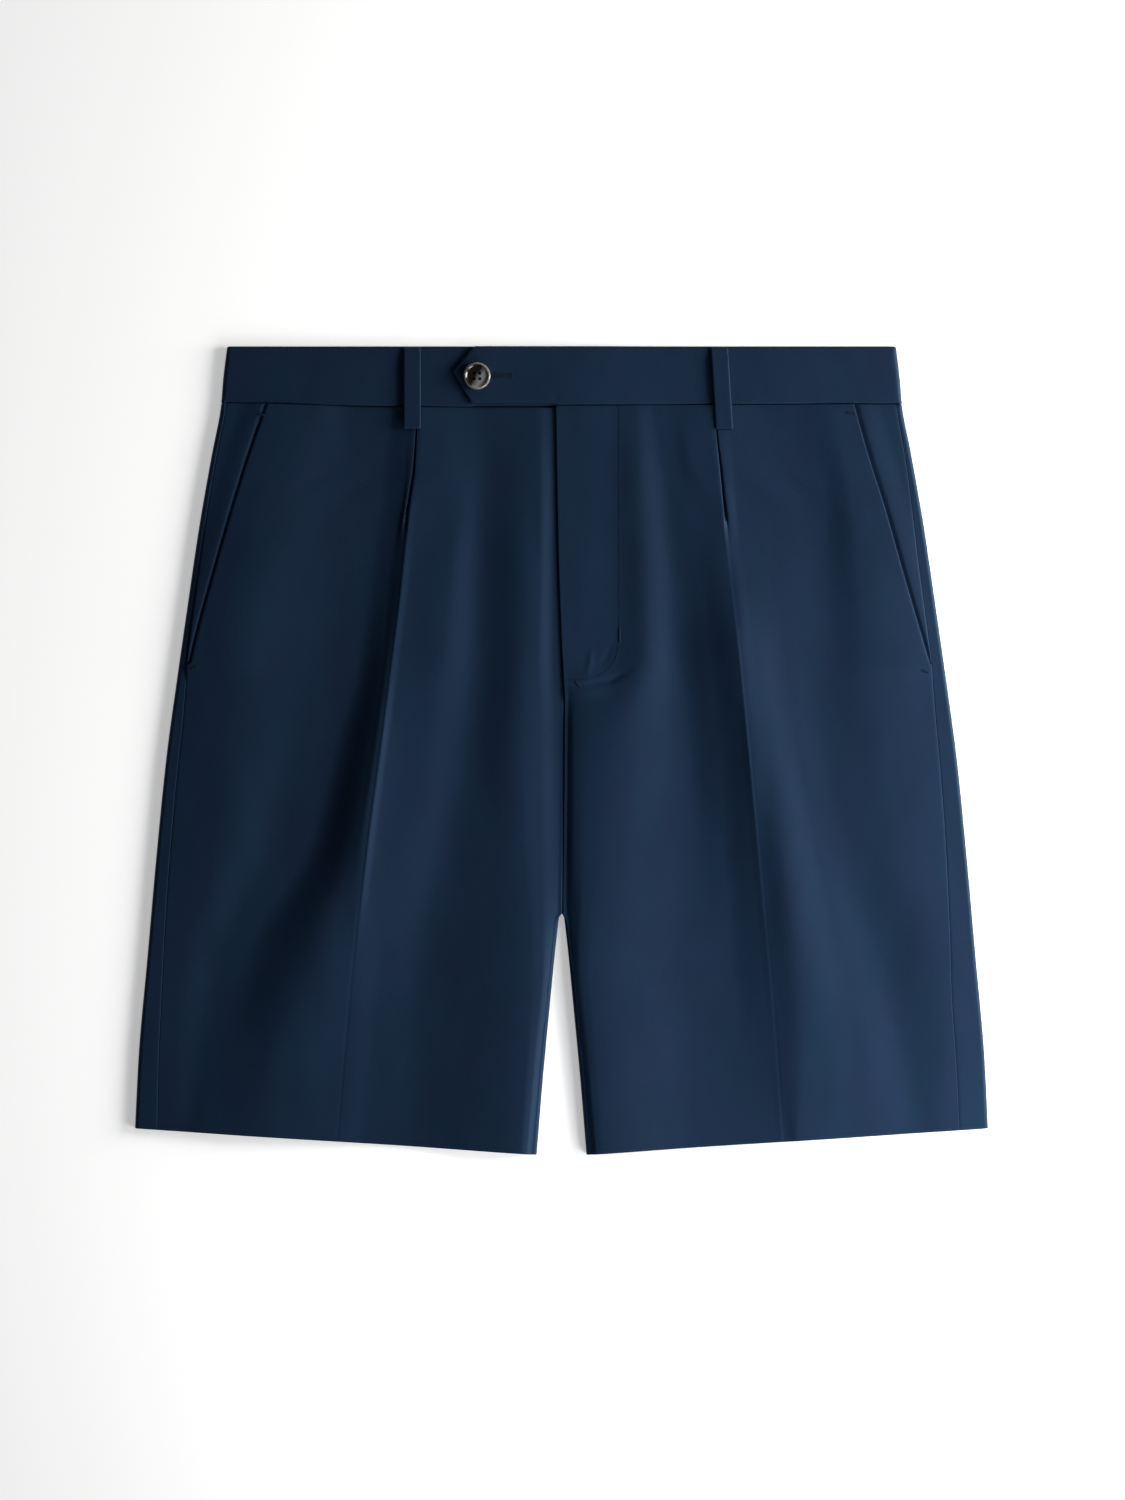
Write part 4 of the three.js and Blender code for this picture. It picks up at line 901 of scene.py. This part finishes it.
class SHORTS_OT_backs(ShortsOperator, bpy.types.Operator):
    """Makes the two backs, which lie on the floor and wrap round the side edges"""
    bl_idname = "shorts.backs"
    bl_label = "Backs"

    def make(self, scene, g):
        for half in SIDES:
            wall = Wall(half, *g.sections(half))
            self.line_up(g, wall)
            obj = wall_mesh(f"back_{half}_cloth", *wall.faces(g, g.cloth, lambda a, y: 0.0))
            dress(obj, [f"back_{half}"])

    def line_up(self, g, wall):
        """Sections along the floor, round the side edge and back to the side seam on top."""
        half, sections = wall.half, wall.sections

        def y_at(a):
            return g.section_y(half, a, sections)

        inner_y = y_at(0.0)
        end = g.inner_end(half, inner_y, front=False)
        rise = g.drape(half, g.inner_end(half, inner_y), inner_y)
        turned = smoothstep(CROTCH_Y, CROTCH_Y - INSEAM_TURN, inner_y)
        start, (a, z, angle, thick) = inner_turn(g, end, rise, turned, -1)
        wall.add(a, z + g.cloth / 2, math.pi + angle, thick)
        centre = g.meet(half, sections, lambda y: read(OUTLINE, y, "half")) - g.rise / 2
        wall.add(spread(start, centre, 30), g.cloth / 2, math.pi)
        radius = (g.rise - g.cloth) / 2
        turn = spread(math.pi, 0.0, 14)
        wall.add(centre + radius * np.sin(turn), g.rise / 2 + radius * np.cos(turn), turn)
        seam = g.meet(half, sections, lambda y: g.side_seam(half, y))
        edge = g.edge_steps()[::-1]
        top = np.concatenate([spread(centre, seam + edge[0], 9), seam + edge], axis=1)
        wall.add(top, g.laid(half, top, y_at(top)) - g.cloth / 2, 0.0, rounded(top - seam, g.cloth))


class SHORTS_OT_pocket_facings(ShortsOperator, bpy.types.Operator):
    """Makes the two facings that show between the pocket mouths and the side seams"""
    bl_idname = "shorts.pocket_facings"
    bl_label = "Pocket facings"

    def make(self, scene, g):
        for half in SIDES:
            sections, shares = g.sections(half)
            shown = sections > g.section_through(half, POCKET_TIP_A, POCKET_TIP_Y + 1) - 1e-6
            wall = Wall(half, sections[shown], shares[shown])
            seam = g.meet(half, wall.sections, lambda y: g.side_seam(half, y)) + SIDE_SEAM_LAP
            mouth = g.meet(half, wall.sections, lambda y: read(POCKET_MOUTH, y, half))
            cut_edge(wall, g, mouth - POCKET_UNDERLAP, seam, 26, lambda a: 0.0)
            faces = wall.faces(g, g.cloth, lambda a, y: g.facing_height(half, a, y) - g.cloth / 2)
            obj = wall_mesh(f"pocket_facing_{half}_cloth", *faces)
            dress(obj, [f"pocket_facing_{half}"])


class SHORTS_OT_waistband(ShortsOperator, bpy.types.Operator):
    """Makes the two halves of the waistband, the left one with its pointed tab"""
    bl_idname = "shorts.waistband"
    bl_label = "Waistband"

    def make(self, scene, g):
        for half in SIDES:
            outer, inner, across = self.grids(g, half)
            obj = wall_mesh(f"waistband_{half}_cloth", outer, inner, across)
            dress(obj, [f"waistband_{half}"])

    def grids(self, g, half):
        """Grids of both faces. The rows go from the waist seam to the top of the band, and each
        runs along the floor, round the side edge and back on top to the band's end."""
        side = SIDES[half]
        edge = g.band / 2 * EDGE_STEPS
        tall = WAIST_TOP - WAIST_SEAM_Y
        inside = np.linspace(edge[-1], tall - edge[-1], 18)[1:-1]
        row = np.concatenate([edge, inside, tall - edge[::-1]])[:, None]
        row_y = WAIST_SEAM_Y + row
        centre = read(OUTLINE, row_y, "half") - g.rise / 2
        end = np.interp(row_y, TAB_END["y"], TAB_END["a"]) if side > 0 else 0 * row - FLY_UNDERLAP
        radius = (g.rise - g.band) / 2
        under = spread(g.gap / 2, centre, 30)
        turn = spread(math.pi, 0.0, 14) + 0 * row
        top = np.concatenate([spread(centre, end + edge[-1], 150), end + edge[::-1]], axis=1)
        below = np.zeros((len(row), under.shape[1] + turn.shape[1]))
        lift = 0 * top
        if side > 0:
            lift = g.tab_lift * (1 - smoothstep(FLY_UNDERLAP + 2, FLY_UNDERLAP + TAB_RAMP, top))

        def joined(*parts):
            return np.concatenate(parts, axis=1)

        a = joined(under, centre + radius * np.sin(turn), top)
        z = joined(0 * under + g.band / 2, g.rise / 2 + radius * np.cos(turn),
                   g.rise - g.band / 2 + lift)
        angle = joined(0 * under + math.pi, turn, 0 * top)
        thick = joined(below + 1, rounded(top - end, g.band))
        thick = thick * rounded(np.minimum(row, tall - row), g.band)
        opened = (TAB_SEAM_OPEN - WAIST_SEAM_OPEN) * smoothstep(*TAB_SEAM_FROM[half], top)
        lap = joined(below + WAIST_SEAM_LAP, -WAIST_SEAM_OPEN - opened)
        seam = read(LONG_EDGES, np.abs(a), "seam_" + half, "a") - lap
        y = seam + row / tall * (WAIST_TOP - seam)
        wave = joined(below, self.wave(side * top, y[:, below.shape[1]:]))
        faces = []
        for sign in (1, -1):
            away = sign * thick * g.band / 2
            faces.append(np.stack([side * (a + away * np.sin(angle)), y,
                                   z + away * np.cos(angle) + wave], -1))
        step = np.hypot(np.diff(a), np.diff(z))
        return (*faces, joined(0 * row, np.cumsum(step, axis=1)))

    def wave(self, x, y):
        """Slow unevenness along the band, and the small fold over the fly's edge."""
        slow = 0.10 * np.sin(x / 23.0) + 0.08 * np.sin(x / 11.0 + 1.7)
        tick = -0.35 * np.exp(-(((x + 3.7) / 0.9) ** 2)) * (1 - smoothstep(221, 228, y))
        return slow * smoothstep(WAIST_SEAM_Y, 226, y) * (1 - smoothstep(246, 254, y)) + tick


# a of each belt loop at its top and its foot, and the height of the cloth under its foot
BELT_LOOPS = {"right": (93.9, 93.9, 6.7), "left": (99.2, 102.4, 5.9)}
LOOP_TOP_Y = 253.4
LOOP_FOOT_Y = 202.0
LOOP_ROWS = 90
# How far from its end a loop starts to rise, and where it has risen.
LOOP_TOP_RISE = (1.5, 9.5)
LOOP_FOOT_RISE = (2.5, 14.0)


class SHORTS_OT_belt_loops(ShortsOperator, bpy.types.Operator):
    """Makes the belt loops that lie over the waistband"""
    bl_idname = "shorts.belt_loops"
    bl_label = "Belt loops"

    def make(self, scene, g):
        sizes = scene.shorts_sizes
        width, cloth, clear = sizes.loop_width / MM, sizes.loop_cloth / MM, sizes.loop_clear / MM
        edge = cloth / 2 * EDGE_STEPS
        inside = np.linspace(edge[-1], width - edge[-1], 12)[1:-1]
        offsets = np.concatenate([edge, inside, width - edge[::-1]])
        share = (np.arange(LOOP_ROWS + 1) / LOOP_ROWS)[:, None]
        y = LOOP_FOOT_Y + (LOOP_TOP_Y - LOOP_FOOT_Y) * share
        thick = rounded(np.minimum(offsets, width - offsets), cloth, 0.55)
        thick = thick * rounded(np.minimum(y - LOOP_FOOT_Y, LOOP_TOP_Y - y), cloth, 0.25)
        for half, (top, foot, seat) in BELT_LOOPS.items():
            slope = (self.height(g, clear, seat, y + 0.2) - self.height(g, clear, seat, y - 0.2)) / 0.4
            size = np.hypot(1, slope)
            x = SIDES[half] * (foot + (top - foot) * share) + (offsets - width / 2)
            z = self.height(g, clear, seat, y) + cloth / 2 / size
            faces = []
            for sign in (1, -1):
                away = sign * thick * cloth / 2
                faces.append(np.stack([x, y - away * slope / size, z + away / size], -1))
            obj = wall_mesh(f"belt_loop_{half}_cloth", *faces, np.broadcast_to(offsets, x.shape))
            dress(obj, [f"belt_loop_{half}"])

    def height(self, g, clear, seat, y):
        """Height of a loop's lower face, which comes down to the band at its top end and to the
        front's cloth at its foot."""
        crown = g.rise + clear
        at_top = 1 - smoothstep(*LOOP_TOP_RISE, LOOP_TOP_Y - y)
        at_foot = 1 - smoothstep(*LOOP_FOOT_RISE, y - LOOP_FOOT_Y)
        return crown + (g.gap - clear) * at_top + (seat + g.gap - crown) * at_foot


class SHORTS_OT_button(ShortsOperator, bpy.types.Operator):
    """Makes the horn button, with its rim, its four holes and the thread through them"""
    bl_idname = "shorts.button"
    bl_label = "Button"

    PROFILE = ((0.0, 0.0), (6.4, 0.0), (7.6, 0.35), (8.35, 0.95), (8.55, 1.6), (8.5, 2.2), (8.25, 2.7),
               (7.85, 2.98), (7.4, 3.0), (7.0, 2.82), (6.7, 2.45), (6.35, 2.12), (5.9, 1.98), (5.0, 1.92),
               (3.4, 1.86), (0.0, 1.84))
    HOLE_RADIUS = 1.0
    HOLE_OFFSET = 1.75
    STEPS = 72
    # Heights over the button's seat, in metres: the middle of the horn's pattern, and the thread.
    PATTERN_HEIGHT = 0.0025
    THREAD_HEIGHT = 0.0009
    # In metres: how far two strands lie apart, how far they bow up, and how far they dive at a hole.
    STRAND_SHIFT = 0.0002
    STRAND_BOW = 0.0004
    STRAND_DIVE = 0.0009

    def make(self, scene, g):
        low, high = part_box("button")
        centre = ((low + high) / 2).xy
        seat = low.z
        body = self.turned(centre, seat)
        pattern = (centre.x, centre.y, seat + self.PATTERN_HEIGHT)
        body.data.materials.append(polished_horn(scene.shorts_colours, pattern))
        dress(body, ["button"])
        self.thread(centre, seat + self.THREAD_HEIGHT, scene.shorts_sizes.thread)

    def turned(self, centre, seat):
        """The button's body, turned from its profile and then drilled."""
        angle = np.arange(self.STEPS) * 2 * math.pi / self.STEPS
        rings = np.array(self.PROFILE)[1:-1] * MM
        points = [(centre.x, centre.y, seat)]
        for r, z in rings:
            points += [(centre.x + r * math.cos(t), centre.y + r * math.sin(t), seat + z) for t in angle]
        points.append((centre.x, centre.y, seat + self.PROFILE[-1][1] * MM))
        faces = []

        def ring(k, i):
            return 1 + k * self.STEPS + i % self.STEPS

        for i in range(self.STEPS):
            faces.append((0, ring(0, i + 1), ring(0, i)))
            faces.append((len(points) - 1, ring(len(rings) - 1, i), ring(len(rings) - 1, i + 1)))
            for k in range(len(rings) - 1):
                faces.append((ring(k, i), ring(k, i + 1), ring(k + 1, i + 1), ring(k + 1, i)))
        mesh = bpy.data.meshes.new("horn_button")
        mesh.from_pydata(points, [], faces)
        obj = bpy.data.objects.new("horn_button", mesh)
        bpy.context.scene.collection.objects.link(obj)
        offset = self.HOLE_OFFSET * MM
        for i, j in ((1, 1), (-1, 1), (-1, -1), (1, -1)):
            self.drill(obj, centre.x + i * offset, centre.y + j * offset, seat)
        obj.data.polygons.foreach_set("use_smooth", np.ones(len(obj.data.polygons), bool))
        obj.data.set_sharp_from_angle(angle=math.radians(38))
        return obj

    def drill(self, obj, x, y, seat):
        """Cuts one thread hole, with a boolean that is applied at once."""
        bpy.ops.mesh.primitive_cylinder_add(vertices=24, radius=self.HOLE_RADIUS * MM, depth=0.01,
                                            location=(x, y, seat))
        drill = bpy.context.object
        cut = obj.modifiers.new("hole", "BOOLEAN")
        cut.operation, cut.solver, cut.object = "DIFFERENCE", "EXACT", drill
        graph = bpy.context.evaluated_depsgraph_get()
        mesh = bpy.data.meshes.new_from_object(obj.evaluated_get(graph))
        obj.modifiers.remove(cut)
        obj.data = mesh
        bpy.data.objects.remove(drill)

    def thread(self, centre, top, thread):
        """Two crossed pairs of strands of thread between the holes."""
        reach = self.HOLE_OFFSET * MM
        t = np.linspace(-1, 1, 15)
        rise = self.STRAND_BOW * (1 - t ** 4) - self.STRAND_DIVE * np.clip(np.abs(t) - 0.8, 0, 1) / 0.2
        paths = []
        for i in (1, -1):
            for shift in (-self.STRAND_SHIFT, self.STRAND_SHIFT):
                x = centre.x + t * reach + shift
                y = centre.y + i * t * reach - i * shift
                paths.append(np.stack([x, y, top + rise], -1))
        sew("button_thread", paths, thread * 0.55, thread * 1.3, thread)


class SHORTS_OT_stitching(ShortsOperator, bpy.types.Operator):
    """Sews the fly, the bar tacks, the buttonhole and a dark row of thread as painted shadow under each
    belt loop's foot
    """
    bl_idname = "shorts.stitching"
    bl_label = "Stitching"

    # The half of each bar tack, and the (x, y) places of its two ends.
    TACKS = (
        ("left", (36.4, 76.5), (36.4, 68.4)), ("left", (9.2, 43.2), (11.4, 40.2)),
        ("left", (179.4, 212.4), (184.6, 211.6)), ("left", (226.6, 50.6), (230.4, 49.2)),
        ("right", (-186.5, 210.5), (-190.0, 211.5)), ("right", (-229.2, 52.2), (-232.6, 51.2)),
    )
    # Its ends in x, its place in y, and half its opening at its start and at its end.
    BUTTONHOLE = {"start": -44.0, "end": -31.8, "y": 235.3, "wide": 1.1, "narrow": 0.4}

    def make(self, scene, g):
        pitch, thread = scene.shorts_sizes.stitch_pitch, scene.shorts_sizes.thread
        fly = self.on_cloth(g, "left", self.curved(FLY_STITCH))
        sew("fly_stitching", [fly], pitch, 0.8 * pitch, thread)
        tack = 1.25 * thread
        tacks = [self.on_cloth(g, half, np.linspace(*ends, 12)) for half, *ends in self.TACKS]
        sew("bar_tacks", tacks, 0.55 * tack, 2.8 * tack, tack, lean=math.pi / 2)
        # A row of dark thread on the front just below each belt loop's foot: painted shadow, standing in
        # for the shade under the foot.
        foot_shadow_rows = []
        for half, (_, foot, _) in BELT_LOOPS.items():
            row = [(SIDES[half] * foot + x, LOOP_FOOT_Y - 0.4) for x in np.linspace(-5, 5, 12)]
            foot_shadow_rows.append(self.on_cloth(g, half, row))
        sew("belt_loop_foot_shadow_thread", foot_shadow_rows, 0.8 * thread, 0.9 * thread, 0.8 * thread)
        self.buttonhole(g, thread)

    def curved(self, places):
        """A smooth path through a few places, with a point every 1.5 mm."""
        places = np.array(places, float)
        run = np.concatenate([[0], np.cumsum(np.hypot(*np.diff(places, axis=0).T))])
        at = np.linspace(0, run[-1], int(run[-1] / 1.5))
        return np.stack([smooth_line(run, places[:, k], at) for k in (0, 1)], -1)

    def on_cloth(self, g, half, places):
        """Places on the upper side of a front, as points in metres."""
        places = np.asarray(places, float)
        a, y = SIDES[half] * places[:, 0], places[:, 1]
        drop = np.where(a > read(PLEAT, y, half), g.pleat_drop(y), 0.0)
        z = g.drape(half, a, y) - drop + g.lap_height(half, a, y) + g.relief(half, a, y)
        return np.stack([places[:, 0], y, z + 0.05], -1) * MM

    def buttonhole(self, g, thread):
        """A worked buttonhole in the tab: close stitches on both sides of a slit."""
        top = g.rise + g.tab_lift + 0.10
        hole = self.BUTTONHOLE
        x = np.linspace(hole["start"], hole["end"], 30)
        away = np.linspace(hole["wide"], hole["narrow"], 30)
        rows = [np.stack([x, hole["y"] + side * away, 0 * x + top], -1) * MM for side in (1, -1)]
        sew("buttonhole_stitching", rows, 0.9 * thread, 1.5 * MM, thread, lean=math.pi / 2)
        y = np.linspace(hole["y"] - 1.4, hole["y"] + 1.4, 8)
        bar = np.stack([0 * y + hole["end"] + 0.4, y, 0 * y + top + 0.05], -1) * MM
        sew("buttonhole_bar", [bar], 0.8 * thread, 1.6 * MM, thread, lean=math.pi / 2)


class SHORTS_OT_stage(ShortsOperator, bpy.types.Operator):
    """Makes the floor, the lights and the camera"""
    bl_idname = "shorts.stage"
    bl_label = "Stage"

    CAMERA_PLACE = (0.0006, 0.0003, 2.8)
    FRAME_HEIGHT = 0.945
    SENSOR = 36.0
    FLOOR_HALF = 12.0

    def make(self, scene, g):
        self.floor(scene)
        self.camera(scene)
        self.lights(scene)

    def floor(self, scene):
        mesh = bpy.data.meshes.new("floor")
        size = self.FLOOR_HALF
        corners = [(-size, -size, 0), (size, -size, 0), (size, size, 0), (-size, size, 0)]
        mesh.from_pydata(corners, [], [(0, 1, 2, 3)])
        floor = bpy.data.objects.new("floor", mesh)
        scene.collection.objects.link(floor)
        mesh.materials.append(lit_table(scene.shorts_colours))

    def camera(self, scene):
        data = bpy.data.cameras.new("camera")
        data.sensor_width = self.SENSOR
        data.lens = self.SENSOR * self.CAMERA_PLACE[2] / self.FRAME_HEIGHT
        camera = bpy.data.objects.new("camera", data)
        camera.location = self.CAMERA_PLACE
        scene.collection.objects.link(camera)
        scene.camera = camera

    def lights(self, scene):
        """A low, soft light from the right rakes over the folds, a smaller one beside it lights
        the legs, and a weak one from above the waistband lifts the shadows. Near-black navy and a
        pale floor need a plain tone curve."""
        self.softbox("key light", azimuth=10, elevation=20, away=1.25, size=0.7, power=29, tint="#fffdfa")
        self.softbox("low light", azimuth=-44, elevation=26, away=0.85, size=0.5, power=6.4, tint="#fbfcff")
        self.softbox("top light", azimuth=86, elevation=34, away=2.2, size=1.2, power=6, tint="#f4f8ff")
        world = bpy.data.worlds.new("soft surroundings")
        world.use_nodes = True
        background = world.node_tree.nodes["Background"]
        background.inputs["Color"].default_value = (*linear("#eef1f5"), 1)
        background.inputs["Strength"].default_value = 0.01
        scene.world = world
        scene.view_settings.view_transform = "Standard"

    def softbox(self, name, azimuth, elevation, away, size, power, tint):
        """A round soft light that looks at the middle of the garment."""
        data = bpy.data.lights.new(name, "AREA")
        data.shape = "DISK"
        data.size = size
        data.energy = power
        data.color = linear(tint)
        aim = Euler((0, -math.radians(elevation), math.radians(azimuth))).to_matrix() @ Vector((1, 0, 0))
        light = bpy.data.objects.new(name, data)
        light.location = away * aim
        light.rotation_euler = aim.to_track_quat("Z", "Y").to_euler()
        bpy.context.scene.collection.objects.link(light)


# ------------------------------------------------------------------ panel and registration


class SHORTS_PT_panel(bpy.types.Panel):
    """Lists the pieces of the shorts and their sizes"""
    bl_idname = "SHORTS_PT_panel"
    bl_label = "Pleated Shorts"
    bl_space_type = "VIEW_3D"
    bl_region_type = "UI"
    bl_category = "Shorts"

    def draw(self, context):
        for group in (context.scene.shorts_sizes, context.scene.shorts_colours):
            box = self.layout.box()
            for name in group.__annotations__:
                box.prop(group, name)
        for operator in OPERATORS:
            self.layout.operator(operator.bl_idname)


OPERATORS = (
    SHORTS_OT_fronts, SHORTS_OT_backs, SHORTS_OT_pocket_facings, SHORTS_OT_waistband,
    SHORTS_OT_belt_loops, SHORTS_OT_button, SHORTS_OT_stitching, SHORTS_OT_stage,
)
CLASSES = (ShortsSizes, ShortsColours, *OPERATORS, SHORTS_PT_panel)


def register():
    for cls in CLASSES:
        bpy.utils.register_class(cls)
    bpy.types.Scene.shorts_sizes = bpy.props.PointerProperty(type=ShortsSizes)
    bpy.types.Scene.shorts_colours = bpy.props.PointerProperty(type=ShortsColours)


def unregister():
    del bpy.types.Scene.shorts_colours
    del bpy.types.Scene.shorts_sizes
    for cls in reversed(CLASSES):
        bpy.utils.unregister_class(cls)


def main():
    register()
    for operator in OPERATORS:
        group, name = operator.bl_idname.split(".")
        getattr(getattr(bpy.ops, group), name)()


if __name__ == "__main__":
    main()
